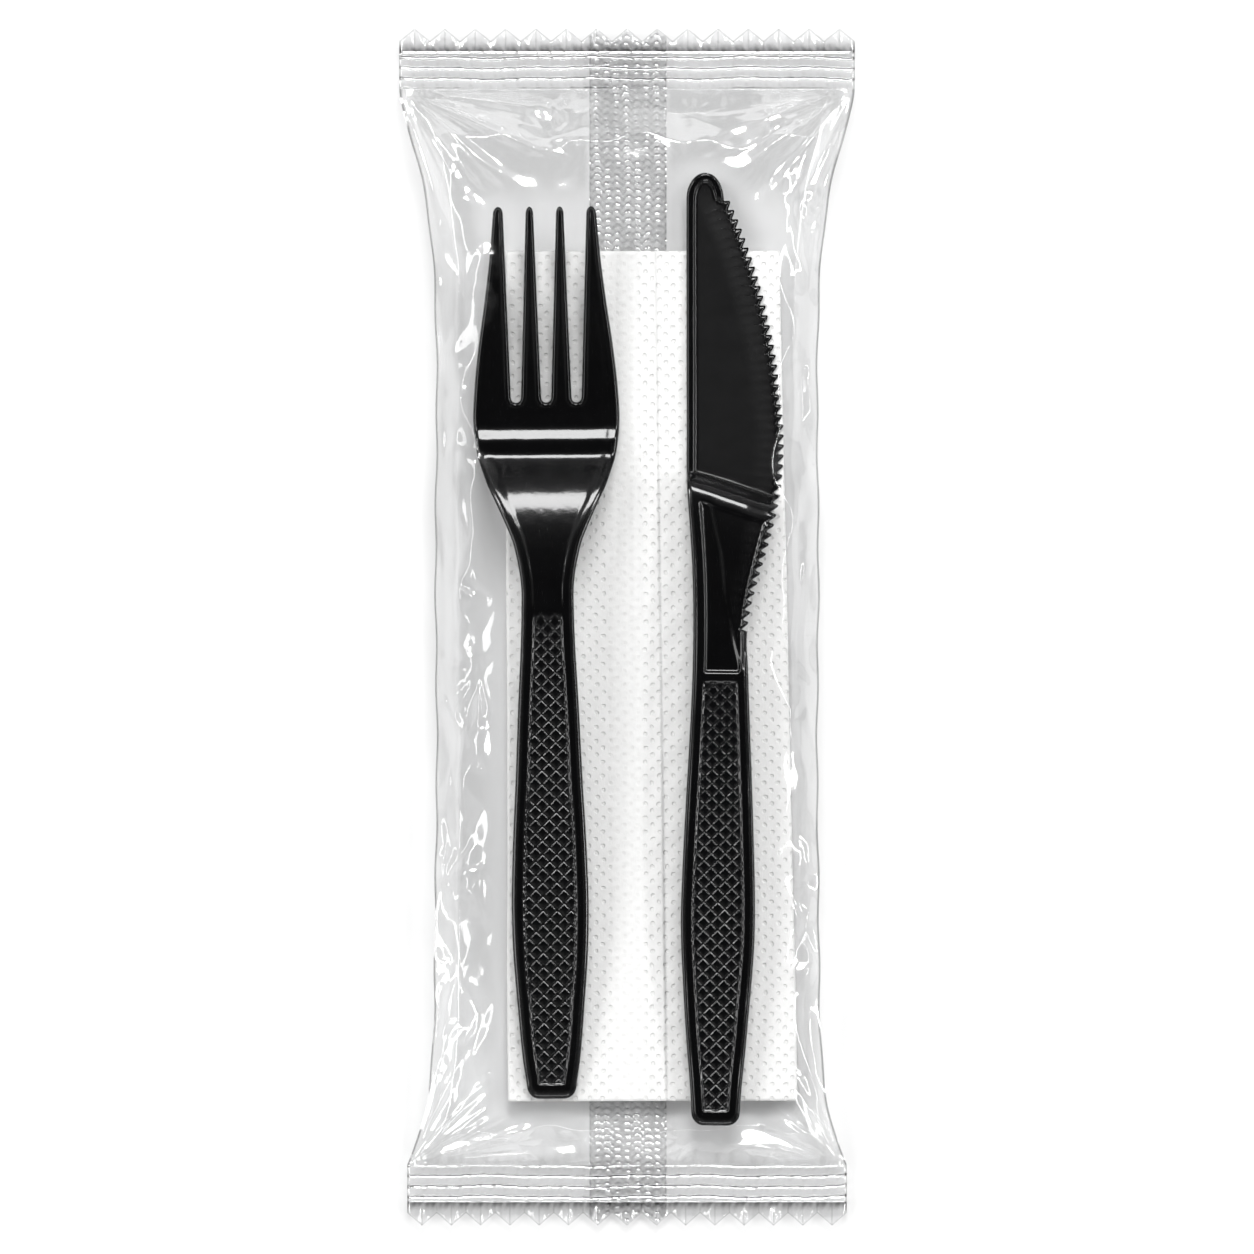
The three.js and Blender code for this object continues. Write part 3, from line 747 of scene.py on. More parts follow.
@dataclass
class Knife(Moulding):
    """The knife: a toothed blade under a raised spine, a stepped neck and a textured handle."""

    node: str = "knife"
    wall: float = 1.7
    edge_radius: float = 0.6
    rim: float = 2.4
    panel_end: float = 88.6
    panel_fade: tuple[float, float] = (0.4, 0.2)
    sink: float = 0.1
    turn: float = -0.0106
    handle_end: tuple[float, float] = (17.64, -99.5)
    teeth: int = 44
    tooth_depth: float = 1.1
    tooth_hook: float = 0.5
    teeth_from: float = 98.9
    tip_from: float = 185.0
    tip: tuple[float, float] = (-4.0, 190.2)
    columns: int = 58
    start_height: float = 2.35
    ridge_slant: float = 0.33
    spine: Knots = (
        (0.0, -4.75), (2.5, -4.85), (8.0, -5.2), (15.0, -5.85), (22.0, -6.4), (29.0, -6.85),
        (36.0, -7.25), (43.0, -7.38), (50.0, -7.2), (64.0, -6.65), (78.0, -6.0), (90.0, -5.58),
        (100.0, -5.52), (110.0, -5.78), (120.0, -6.45), (126.0, -6.95), (140.0, -7.2),
        (160.0, -7.46), (180.0, -7.7), (190.2, -7.78),
    )
    plain_side: Knots = (
        (0.0, 4.75), (2.5, 4.85), (8.0, 5.2), (15.0, 5.85), (22.0, 6.4), (29.0, 6.95),
        (36.0, 7.38), (43.0, 7.46), (50.0, 7.3), (57.0, 7.04), (64.0, 6.76), (71.0, 6.45),
        (78.0, 6.11), (86.0, 5.76), (92.0, 5.5), (96.0, 5.2), (98.9, 5.3),
    )
    tooth_line: Knots = (
        (98.9, 5.3), (103.0, 5.9), (107.0, 6.85), (112.7, 8.45), (118.7, 10.1), (124.5, 11.35),
        (129.0, 11.95), (134.5, 12.25), (140.0, 12.1), (146.7, 11.4), (153.5, 10.5),
        (160.3, 9.1), (167.0, 7.45), (174.9, 4.9), (180.0, 3.0), (185.0, 0.8),
    )
    facing: Knots = (
        (0.0, -4.0), (40.0, -3.5), (80.0, -1.0), (90.0, 0.0), (100.0, 3.0), (112.0, 5.0),
        (120.0, 8.0), (123.5, 11.0), (124.6, 13.5), (125.0, 17.0), (125.6, 25.0), (126.2, 35.0),
        (128.6, 36.0), (129.0, 2.0), (129.4, 0.0), (131.5, 0.0), (133.0, 0.0), (190.2, 0.0),
    )
    neck_rim: Knots = (
        (4.2, 90.8), (4.35, 93.0), (4.5, 97.0), (4.9, 103.3), (5.9, 108.5), (7.1, 113.5),
        (8.5, 119.0), (9.3, 122.8),
    )
    neck_crease: Knots = (
        (-2.9, 124.0), (-0.6, 114.0), (0.4, 105.0), (2.2, 96.0), (3.4, 91.4),
    )

    def tooth_edge(self) -> tuple[np.ndarray, np.ndarray, np.ndarray]:
        """The serrated edge from the neck to the tip.

        Stations are even in length along the tooth line. Each tooth stands back from the line by
        half a cosine wave, and its crest leans towards the tip.

        Returns:
            Positions across, positions along, and the tooth line's own positions along.
        """
        fine = np.linspace(self.teeth_from, self.tip_from, 900)
        line = stacked(through(fine, self.tooth_line), fine)
        run = np.concatenate([[0.0], np.cumsum(np.hypot(*np.diff(line, axis=0).T))])
        phase = np.arange(0, self.teeth * 8 + 1) / 8.0
        at = phase / self.teeth * run[-1]
        base = stacked(np.interp(at, run, line[:, 0]), np.interp(at, run, line[:, 1]))
        ahead, inward = directions(base)
        back = ((0.5 + 0.5 * cosine_wave(phase)) ** 1.2)[:, None]
        edge = base + inward * back * self.tooth_depth + ahead * (1.0 - back) * self.tooth_hook
        return edge[:, 0], edge[:, 1], base[:, 1]

    def plan(self) -> tuple[np.ndarray, np.ndarray]:
        """The plan grid: each row is a straight run from the spine to the other side.

        Returns:
            Positions across and positions along.
        """
        handle = self.handle(self.teeth_from, 0.26)
        drop = rounded(np.minimum(handle, self.end_radius), self.end_radius)
        toothed_x, toothed_y, base_y = self.tooth_edge()
        sweep = np.linspace(0.0, math.pi / 2, 16)[1:] - 0.012
        nose = self.tip_from + (self.tip[1] - self.tip_from) * np.sin(sweep)
        start = np.array([self.tip_from])
        half_right = through(start, self.tooth_line)[0] - self.tooth_depth - self.tip[0]
        half_left = self.tip[0] - through(start, self.spine)[0]
        right_x = np.concatenate([
            through(handle, self.plain_side) - drop, toothed_x, self.tip[0] + half_right * np.cos(sweep),
        ])
        left_x = np.concatenate([
            through(handle, self.spine) + drop, through(base_y, self.spine),
            self.tip[0] - half_left * np.cos(sweep),
        ])
        right_y = np.concatenate([handle, toothed_y, nose])
        left_y = np.concatenate([handle, base_y, nose])
        share = 0.55 * np.linspace(0.0, 1.0, self.columns) + 0.45 * spread_evenly(self.columns)
        x = left_x[:, None] + (right_x - left_x)[:, None] * share
        y = left_y[:, None] + (right_y - left_y)[:, None] * share
        return x, y

    def neck(self, x: np.ndarray, y: np.ndarray, to_spine: np.ndarray) -> np.ndarray:
        """Height of the neck's sunk field, its right-hand bead and the crease across it.

        The field lies between the spine rim and a bead just inside the first teeth, from a step
        above the panel to the slanted ridge where the blade begins.
        """
        rim_x, rim_y = np.array(self.neck_rim).T
        crease_x, crease_y = np.array(self.neck_crease).T
        slanted = y + self.ridge_slant * x
        beyond = ledge(y, 90.4) * (1.0 - ease(slanted, 122.6, 123.6))
        line = np.interp(y, rim_y, rim_x)
        field = ease(line - x, 0.2, 0.7) * ledge(to_spine, 2.3) * beyond
        bead = 1.0 - ramp(distance_to(x, y, links(np.array(self.neck_rim))), 0.0, 0.4)
        bar = ramp(to_spine, 2.3, 2.6) * ramp(line - x, 0.0, 0.3) * (1.0 - ramp(np.abs(y - 89.9), 0.0, 0.3))
        fold = x - np.interp(y, crease_y[::-1], crease_x[::-1])
        lift = 0.22 * ease(fold, 0.0, 1.1) * (1.0 + ease(-y, -102.0, -92.0))
        return 0.18 * bead * beyond + 0.11 * bar - field * (0.5 - lift)

    def build(self) -> bpy.types.Object:
        """Makes the knife as one closed moulding."""
        x, y = self.plan()
        left, right = stacked(x[:, 0], y[:, 0]), stacked(x[:, -1], y[:, -1])
        along = right[:, 1]
        plain = right[along < self.teeth_from]
        toothed = right[(along >= self.teeth_from - 0.3) & (along < self.tip_from + 0.5)]
        nose = right[along >= self.tip_from + 0.5]
        to_spine = distance_to(x, y, links(np.concatenate([left[::2], nose[::-1]])))
        to_plain = distance_to(x, y, links(plain[::2]))
        to_teeth = distance_to(x, y, links(toothed))
        to_end = distance_to(x, y, links(np.array([left[0], right[0]])))
        side = np.minimum(np.minimum(to_spine, to_plain), to_end)

        slanted = y + self.ridge_slant * x * mound(y, 126.0, 16.0)
        middle = heights(slanted, self.start_height, self.facing)
        on_blade = ease(slanted, 128.4, 129.4)
        spine_rim = 0.55 * (1.0 - ledge(to_spine, 1.4))
        rims = self.rims(side) * (1.0 - on_blade) + spine_rim * on_blade
        panel = self.panel(y, side)
        thin = (1.0 - ease(to_teeth, 0.0, 5.5)) * ease(y, 96.0, 104.0)
        detail = rims + self.sunk(x, y, panel) + self.neck(x, y, to_spine) - 0.5 * thin - 0.3 * on_blade
        drop = rounded(np.minimum(side, to_teeth), self.edge_radius)
        top = middle + self.wall / 2 + detail - drop
        shell = walled(x, y, top, middle - self.wall / 2 + 0.3 * thin + drop)
        satin = on_blade * ease(to_spine, 1.9, 2.5) * ease(to_teeth, 0.3, 1.2)
        return self.mould(shell, satin=satin, panel=panel, across=x, along=y)


# ---------------------------------------------------------------- napkin


@dataclass
class Napkin:
    """The napkin: a square sheet folded across and then to and fro into a narrow pad."""

    length: float = 169.8
    width: float = 56.2
    runs: int = 10
    pitch: float = 0.22
    sheet: float = 0.15
    face: float = 0.2
    flap_edge: float = 2.6
    coin_from: float = -7.9
    coin_width: float = 2.2
    coin_columns: int = 3
    coin_pitch: float = 2.0
    centre: tuple[float, float] = (4.15, -9.8)
    turn: float = 0.0024
    skew: float = 0.00034
    cut_side: float = 340.0

    def lie(self) -> Lie:
        """The pad's place, on the back film."""
        return Lie(*self.centre, underside("napkin"), self.turn)

    def spread(self, x: np.ndarray, y: np.ndarray) -> np.ndarray:
        """Widens the pad towards -Y, its left side kept, as its folds aren't quite parallel."""
        return (x + self.width / 2) * (1.0 - self.skew * y) - self.width / 2

    def body(self) -> bpy.types.Object:
        """The stacked runs: one strip carried to and fro, its folds half circles."""
        half = self.width / 2
        bend = self.pitch / 2
        line = []
        for run in range(self.runs):
            sign = 1.0 if run % 2 else -1.0
            height = self.sheet / 2 + run * self.pitch
            reach = half - bend - 0.25 * abs(math.sin(2.3 * run + 0.6))
            line.extend((sign * reach * share, height) for share in np.linspace(-0.98, 1.0, 7))
            if run < self.runs - 1:
                angle = np.linspace(0.0, math.pi, 6)[1:-1]
                line.extend(zip(sign * (reach + bend * np.sin(angle)), height + bend * (1.0 - np.cos(angle))))
        path = np.array(line)
        normal = directions(path)[1]
        ring = np.concatenate([path + normal * self.sheet / 2, (path - normal * self.sheet / 2)[::-1]])
        stations = np.linspace(-self.length / 2, self.length / 2, 30)
        sway = 0.12 * np.sin(stations / 13.0)[:, None] * (ring[:, 0] / half)[None, :]
        x = ring[None, :, 0] + sway
        z = np.repeat(ring[None, :, 1], len(stations), axis=0)
        y = np.repeat(stations[:, None], len(ring), axis=1)
        closed = np.arange(x.size).reshape(x.shape)
        closed = np.concatenate([closed, closed[:, :1]], axis=1)
        sides = [closed[:-1, :-1], closed[1:, :-1], closed[1:, 1:], closed[:-1, 1:]]
        first = np.arange(len(path) - 1)
        near = np.column_stack([first, first + 1, len(ring) - 2 - first, len(ring) - 1 - first])
        far = near[:, ::-1] + (len(stations) - 1) * len(ring)
        shell = Shell(stacked(self.spread(x, y), y, z), np.concatenate([stacked(*sides), near, far]))
        shell.field("embossed", np.ones(len(shell.points)))
        shell.points = self.lie().put(shell.points)
        return shell.build("napkin_runs")

    def top(self) -> bpy.types.Object:
        """The two uppermost runs: the flap from the left, its coined border, and the run under it.

        The flap stands one thickness above the other run up to its edge. Its border is pressed
        into short ribs: cosine waves along Y in columns parted by fine grooves.
        """
        half = self.width / 2
        flap_end = self.flap_edge + 0.06
        across = np.concatenate([np.linspace(-half, self.flap_edge, 62), np.linspace(flap_end, half, 48)])
        x, y = np.meshgrid(across, np.linspace(-self.length / 2, self.length / 2, 280))
        flap = 1.0 - ease(x, self.flap_edge, flap_end)
        quilt = np.sin((x - 1.2 * y) / 1.5 + 0.8 * np.sin(y / 17.0)) * 0.08
        swell = 0.1 * np.sin(y / 11.0 + x / 19.0) * np.sin(x / 8.0 + 1.0)
        column = (x - self.coin_from) / self.coin_width
        last = self.coin_columns
        coined = ease(column, -0.1, 0.1) * (1.0 - ease(column, last - 0.1, last + 0.1))
        groove = ease(triangle_wave(column), 0.05, 0.4)
        rib = 0.5 + 0.5 * cosine_wave(y / self.coin_pitch + 0.5 * (np.floor(column) % 2))
        fold = 0.16 * ease(np.abs(x) - half, -0.8, 0.0)
        plain = (quilt + swell) * (1.0 - coined)
        top = self.face * (1.0 + flap) + plain + coined * (0.16 * rib * groove - 0.08) - fold
        shell = walled(self.spread(x, y), y, top, np.full_like(top, 0.02))
        both_sides(shell, embossed=1.0 - coined)
        lie = self.lie()
        shell.points = Lie(lie.x, lie.y, lie.z + self.runs * self.pitch, lie.turn).put(shell.points)
        return shell.build("napkin_top")

    def build(self) -> list[bpy.types.Object]:
        runs, top = self.body(), self.top()
        finish = EmbossedTissue("white_tissue")
        for piece in (runs, top):
            dress(piece, finish, "white_tissue", "napkin")
        return [runs, top]


# ---------------------------------------------------------------- film wrapper


class PackEnd(Enum):
    """The two sealed ends of the pack, by the sign of Y."""

    FAR = 1
    NEAR = -1


class Crumple:
    """Sharp-ridged facets over a plan, as stiff film takes when it is bent two ways at once.

    Pinch points and loose points are joined into triangles. The height is straight across each
    triangle, so ridges are sharp, and a bubble of the three corner shares bows each facet.
    """

    spread = (52, 118)

    def __init__(
        self, pinches: Sequence[tuple[float, float]], spacing: float, height: float, seed: int
    ) -> None:
        """Scatters the points and joins them.

        Args:
            pinches: Chosen pinch points.
            spacing: Distance between the loose points that fill the rest.
            height: Largest height of a point.
            seed: Start of the random draw.
        """
        draw = np.random.default_rng(seed)
        grid = np.meshgrid(*(np.linspace(-far, far, int(2 * far / spacing)) for far in self.spread))
        loose = stacked(*grid) + draw.uniform(-0.36, 0.36, (grid[0].size, 2)) * spacing
        chosen = np.array(pinches, dtype=float).reshape(-1, 2)
        if len(chosen):
            gap = np.hypot(*(loose[:, None, :] - chosen[None]).transpose(2, 0, 1)).min(axis=1)
            loose = loose[gap > 0.62 * spacing]
        corners = np.concatenate([chosen, loose])
        rise = draw.uniform(-1.0, 1.0, len(corners)) * height
        swing = np.where(np.arange(len(chosen)) % 2 == 0, 1.0, -1.0)
        rise[: len(chosen)] = swing * draw.uniform(0.55, 1.0, len(chosen)) * height
        result = delaunay_2d_cdt([Vector(c) for c in corners], [], [], 0, 1e-6)
        self.corners = np.array([tuple(v) for v in result[0]])
        self.rise = np.array([rise[source[0]] for source in result[3]])
        self.triangles = np.array(result[2])
        self.bow = draw.uniform(-1.0, 1.0, len(self.triangles)) * height * 0.8

    def at(self, x: np.ndarray, y: np.ndarray) -> np.ndarray:
        """The facets' height over plan points of any shape."""
        flat_x, flat_y = x.ravel(), y.ravel()
        out = np.zeros(len(flat_x))
        for corner, bow in zip(self.triangles, self.bow):
            (ax, ay), (bx, by), (cx, cy) = self.corners[corner]
            box = (flat_x >= min(ax, bx, cx)) & (flat_x <= max(ax, bx, cx))
            near = np.flatnonzero(box & (flat_y >= min(ay, by, cy)) & (flat_y <= max(ay, by, cy)))
            area = (bx - ax) * (cy - ay) - (cx - ax) * (by - ay)
            px, py = flat_x[near] - ax, flat_y[near] - ay
            second = (px * (cy - ay) - (cx - ax) * py) / area
            third = ((bx - ax) * py - px * (by - ay)) / area
            first = 1.0 - second - third
            inside = (first >= -1e-9) & (second >= -1e-9) & (third >= -1e-9)
            share = np.stack([first, second, third])[:, inside]
            level = self.rise[corner] @ share
            out[near[inside]] = level + bow * share.prod(axis=0)
        return out.reshape(x.shape)


@dataclass
class Wrapper:
    """The film: one sheet round the contents, pinched along its sides, crimped at both ends."""

    length: float = 239.2
    seal: float = 12.1
    tooth_strip: float = 4.8
    tooth_depth: float = 2.5
    teeth: int = 15
    waist: float = 38.2
    seal_height: float = 2.0
    side_height: float = 7.5
    seal_rise: float = 11.0
    table_gap: float = 0.12
    fin_left: float = -7.5
    fin_right: float = 7.9
    rib_pitch: float = 2.1
    knurl_across: float = 2.0
    knurl_along: float = 1.4
    end_fall: float = 0.95
    ceiling: float = 16.45
    crowding: float = 0.86
    cut_half: tuple[float, float] = (45.5, 44.0)
    fan_corner: tuple[float, float] = (45.0, 43.8)
    crown: Knots = (
        (-107.5, 8.2), (-94.0, 9.0), (-60.0, 11.2), (-20.0, 14.6), (4.0, 16.4), (20.0, 16.2),
        (50.0, 14.8), (84.0, 12.8), (107.5, 11.0),
    )
    pinches: Sequence[tuple[float, float]] = (
        (-38.7, 79.3), (-27.5, 85.9), (-24.7, 90.7), (-15.7, 97.1), (-11.3, 98.5), (-9.5, 92.7),
        (-17.3, 81.5), (43.5, 106.5), (32.9, 87.1), (28.1, 92.3), (28.9, 102.9), (12.7, 102.1),
        (11.5, 92.3), (40.3, 79.9), (-37.1, 53.3), (-36.9, 45.3), (-36.5, 32.3), (-32.1, 68.3),
        (-33.3, 42.7), (-36.7, 16.3), (-31.3, 17.5), (-34.3, 10.1), (-27.3, 7.9), (-25.9, 4.7),
        (-36.7, -13.9), (-29.1, -8.7), (-34.1, -18.5), (-35.1, -27.9), (-31.5, -21.7),
        (-24.5, -3.7), (-36.7, -50.3), (-33.3, -46.3), (-28.9, -47.9), (-33.1, -68.3),
        (-27.1, -67.5), (-25.1, -58.7), (-37.7, -83.3), (-28.9, -78.9), (-30.9, -86.1),
        (-34.3, -90.9), (36.5, 69.1), (31.7, 67.3), (36.9, 55.1), (34.9, 51.7), (37.3, 47.9),
        (34.9, 40.1), (37.3, 30.1), (33.9, 19.3), (37.7, 15.1), (34.9, 7.1), (37.7, -12.1),
        (33.5, -7.7), (38.7, -46.7), (36.5, -51.3), (36.1, -56.5), (35.7, -61.1), (38.5, -67.1),
        (39.1, -89.7), (36.7, -93.7), (-15.3, -97.7), (-22.3, -103.1), (26.9, -100.5),
        (9.9, -102.3), (15.7, -100.9),
    )
    holds: Sequence[tuple[float, float, float]] = (
        (15.2, 84.5, 6.5), (20.5, 78.5, 6.0), (-16.0, 79.0, 4.0), (-26.0, 80.5, 2.5),
        (-6.0, 81.0, 3.0), (-15.0, -91.0, 6.0), (17.6, -95.5, 6.5), (-24.0, 42.0, 8.0),
        (-24.0, 52.0, 6.5),
    )

    @property
    def inner_end(self) -> float:
        """Distance from the middle to the inner line of either seal."""
        return self.length / 2 - self.seal

    def half_width(self, y: np.ndarray) -> np.ndarray:
        """Half-width: a seal's own at each end, easing to the waist over the contents."""
        far = np.maximum(self.inner_end - y, 0.0)
        near = np.maximum(self.inner_end + y, 0.0)
        flare = 7.3 * np.exp(-((far / 18.5) ** 1.55)) + 5.7 * np.exp(-((near / 12.0) ** 1.1))
        nibble = 0.28 * np.sin(y / 4.7) * np.sin(y / 7.9 + 1.0) * ease(np.minimum(far, near), 2.0, 14.0)
        return self.waist + flare + nibble

    def opened(self, y: np.ndarray) -> np.ndarray:
        """How far the pack is open at a station: 0 at the seals and 1 over the contents."""
        return (1.0 - ramp(np.abs(y), 0.0, self.inner_end) ** 7) ** 0.75

    def fans(self, x: np.ndarray, y: np.ndarray) -> np.ndarray:
        """Pleats that fan out of the four corners: straight flanks by angle, rising with distance."""
        total = np.zeros_like(x)
        for corner, end in zip(self.fan_corner, PackEnd):
            for side in (-1.0, 1.0):
                dx, dy = corner - side * x, self.inner_end - end.value * y
                far = np.hypot(dx, dy)
                angle = np.arctan2(dy, dx)
                pleat = triangle_wave(angle * 3.1 + 0.15 * side + 0.3 * end.value) - 0.5
                second = triangle_wave(angle * 6.7 + 0.4 * side) - 0.5
                total += (0.085 * pleat + 0.03 * second) * far * np.exp(-((far / 26.0) ** 2))
        return total

    def stars(self, x: np.ndarray, y: np.ndarray, seed: int) -> np.ndarray:
        """Straight-flanked pleats that radiate from every pinch point and die out round it.

        A star's height is steep x r x pleat(angle) x exp(-(r/reach)^2), with five to eight pleats
        of uneven width.
        """
        draw = np.random.default_rng(seed)
        total = np.zeros_like(x)
        for px, py in self.pinches:
            pleats = draw.integers(5, 9)
            turn, lean, steep, reach = draw.uniform((0.0, 0.0, 0.06, 5.5), (1.0, 6.3, 0.13, 10.5))
            far = np.hypot(x - px, y - py)
            angle = np.arctan2(y - py, x - px)
            phase = (angle + 0.55 * np.sin(angle + lean)) * pleats / (2.0 * math.pi) + turn
            total += steep * far * (triangle_wave(phase) - 0.5) * np.exp(-((far / reach) ** 2))
        return total

    def puckers(self, x: np.ndarray, y: np.ndarray) -> np.ndarray:
        """Short ripples where the film leaves a seal, dying out within a few millimetres."""
        out = self.inner_end - np.abs(y)
        wave = np.sin(x * 1.15 + 2.0 * np.sin(x * 0.31)) + 0.5 * np.sin(x * 2.7 + 1.0)
        return 0.16 * wave * np.exp(-out / 3.2) * ease(out, 0.0, 0.8)

    def busy(self, x: np.ndarray, y: np.ndarray) -> np.ndarray:
        """Share of crumpling: full at the sides and ends, almost none where contents hold it."""
        side = np.maximum(ease(-x, 24.5, 29.0), ease(x, 31.0, 35.0))
        end = np.maximum(ease(y, 80.0, 91.0), ease(-y, 94.0, 101.0))
        free = np.ones_like(x)
        for px, py, reach in self.holds:
            free *= ease(np.hypot(x - px, y - py), reach, reach + 4.5)
        return 0.02 + 0.98 * np.maximum(side, end) * free

    def grid(self, columns: int, along: np.ndarray) -> tuple[np.ndarray, np.ndarray, np.ndarray]:
        """A panel's shares of the half-width, crowded at the sides, and places across and along."""
        turn = np.linspace(-1.0, 1.0, columns) * math.pi / 2 * self.crowding
        share, y = np.meshgrid(np.sin(turn) / math.sin(math.pi / 2 * self.crowding), along)
        return share, share * self.half_width(y), y

    def held(self, share: np.ndarray, y: np.ndarray) -> np.ndarray:
        """0 along a panel's edges, where folds and seals hold it, and 1 inside them."""
        return ease(1.0 - np.abs(share), 0.0, 0.06) * ease(self.inner_end - np.abs(y), 0.0, 5.0)

    def near_seal(self, y: np.ndarray) -> np.ndarray:
        """0 over the contents, rising to 1 at the inner line of either seal."""
        return ease(np.abs(y), self.inner_end - self.seal_rise, self.inner_end)

    def side_fold(self, y: np.ndarray) -> np.ndarray:
        """Height of the two side folds at a station."""
        return self.seal_height + (self.side_height - self.seal_height) * self.opened(y)

    def panel(self, name: str, x: np.ndarray, y: np.ndarray, z: np.ndarray, share: np.ndarray) -> Shell:
        """A panel with its cloudiness: with its creases, less over the fin, darker towards both ends as
        painted shade, and a painted dark line along each side fold.
        """
        over_fin = ease(x, self.fin_left - 1.0, self.fin_left)
        over_fin = over_fin * ease(-x, -self.fin_right - 1.0, -self.fin_right)
        # outline: 1 along the side fold, where a dark line is painted as painted shade
        outline = 1.0 - ease(self.half_width(y) * (1.0 - np.abs(share)), 0.1, 0.6)
        # ends: the film is made more opaque and darker towards both ends, most at the far end, painted shade
        ends = 0.35 + 0.65 * ease(y, 78.0, 92.0) + 0.4 * ease(-y, 90.0, 101.0)
        faces = cells(*x.shape)
        if name == "film_back":
            faces = faces[:, ::-1]
        shell = Shell(stacked(x, y, z), faces)
        shell.field("density_and_shade", self.busy(x, y) * (1.0 - 0.8 * over_fin) * ends + 2.6 * outline)
        return shell.build(name)

    def front(self) -> bpy.types.Object:
        """The front panel between the seals.

        Height over the side fold is the crown's times 1 - (1 - t)^1.3, where t grows from 0 at the
        fold to 1 at about a fifth of the half-width, then level across the middle. At both ends the
        crown breaks along a wandering crease and falls straight to the seal.
        """
        share, x, y = self.grid(220, np.concatenate([
            np.linspace(-self.inner_end, -96.0, 54), np.linspace(-95.2, 93.5, 212),
            np.linspace(93.7, self.inner_end, 70),
        ]))
        turned = 2.2 * np.sign(share)
        shoulder = 0.2 + 0.04 * np.sin(y / 6.7 + turned) + 0.03 * np.sin(y / 3.1 - turned)
        inward = ramp(1.0 - np.abs(share), 0.0, shoulder)
        side = self.side_fold(y)
        wander = 1.0 + 0.1 * np.sin(x / 5.3 + 1.0) + 0.06 * np.sin(x / 2.1)
        fall = self.seal_height + self.end_fall * wander * (self.inner_end - np.abs(y))
        crown = np.minimum(through(y, self.crown), fall)
        base = side + (crown - side) * (1.0 - (1.0 - inward) ** 1.3)
        crumple = Crumple(self.pinches, 10.5, 0.75, 7).at(x, y) + Crumple((), 5.2, 0.16, 11).at(x, y)
        freer = 1.0 + 1.1 * ease(np.abs(x - 2.5), 25.0, 30.0) * ease(88.0 - np.abs(y), 0.0, 12.0)
        crumple = crumple * freer**0.5 + self.fans(x, y) + self.stars(x, y, 5) * freer
        z = base + self.busy(x, y) * self.held(share, y) * crumple + self.puckers(x, y)
        return self.panel("film_front", x, y, np.clip(z, self.table_gap + 0.6, self.ceiling), share)

    def back(self) -> bpy.types.Object:
        """The back panel: flat on the table, stepped over the fin, turned up to the side folds."""
        share, x, y = self.grid(130, np.linspace(-self.inner_end, self.inner_end, 250))
        lifted = ramp(np.abs(share), 0.865, 1.0) ** 1.5
        ends = self.near_seal(y)
        beside = ease(x, self.fin_left - 0.4, self.fin_left)
        beside = beside * (1.0 - ease(x, self.fin_right, self.fin_right + 1.2))
        level = self.table_gap + 0.4 * beside
        level = level + (self.seal_height - level) * ends
        base = level + (self.side_fold(y) - level) * lifted
        mirrored = [(-px, py) for px, py in self.pinches[::2]]
        crumple = Crumple(mirrored, 9.5, 1.0, 41).at(x, y) + Crumple((), 4.6, 0.3, 31).at(x, y)
        freed = 0.25 + 0.75 * lifted + 0.5 * ends
        z = base + self.busy(x, y) * self.held(share, y) * (crumple + 0.7 * self.fans(x, y)) * freed
        z = np.maximum(z, level * (1.0 - ends) + self.table_gap * ends)
        return self.panel("film_back", x, y, z, share)

    def tooth_phase(self, x: np.ndarray, half: Any) -> np.ndarray:
        """Teeth counted from the left end of a seal, whole in the valleys between them."""
        return (x + half) / (2.0 * half) * self.teeth

    def setback(self, x: np.ndarray, half: Any) -> np.ndarray:
        """How far the cut edge stands back from the tooth tips: a wave of straight flanks."""
        return self.tooth_depth * triangle_wave(self.tooth_phase(x, half) + 0.5)

    def crimp(self, x: np.ndarray, out: np.ndarray) -> np.ndarray:
        """Relief of a seal's ribs, by the distance out from its inner line.

        Flat-topped ribs run the length of the seal, parted by steep grooves that wander a little.
        """
        wander = 0.16 * np.sin(x / 6.1) + 0.1 * np.sin(x / 2.3 + 1.0) + 0.06 * np.sin(x * 1.9)
        phase = (out + wander) / self.rib_pitch
        strip = self.seal - self.tooth_strip
        on_ribs = (1.0 - ease(out, strip - 0.2, strip + 0.2)) * ease(out, 0.0, 0.4)
        dome = 0.06 * np.cos(2.0 * math.pi * phase + 0.8)
        ribs = 0.27 * ease(triangle_wave(phase), 0.12, 0.5) + dome
        dents = 0.05 * np.sin(x * 3.3 + out * 1.3) * np.sin(x * 1.37 + 0.5)
        return ribs * on_ribs + dents

    def pleats(self, x: np.ndarray, out: np.ndarray, phase: np.ndarray) -> np.ndarray:
        """Relief of the toothed strip: each tooth is a fold that deepens towards the cut.

        A second, sharper fold rises from each valley, so facets of two slopes meet on a tooth.
        """
        deep = ease(out, self.seal - self.tooth_strip, self.seal - 1.2)
        tooth = 0.5 - triangle_wave(phase + 0.5)
        lean = triangle_wave(2.0 * phase + 0.25 * np.sin(x * 0.7))
        return (1.15 * tooth * (1.0 + 0.25 * np.sin(x * 0.9)) + 0.2 * lean) * deep

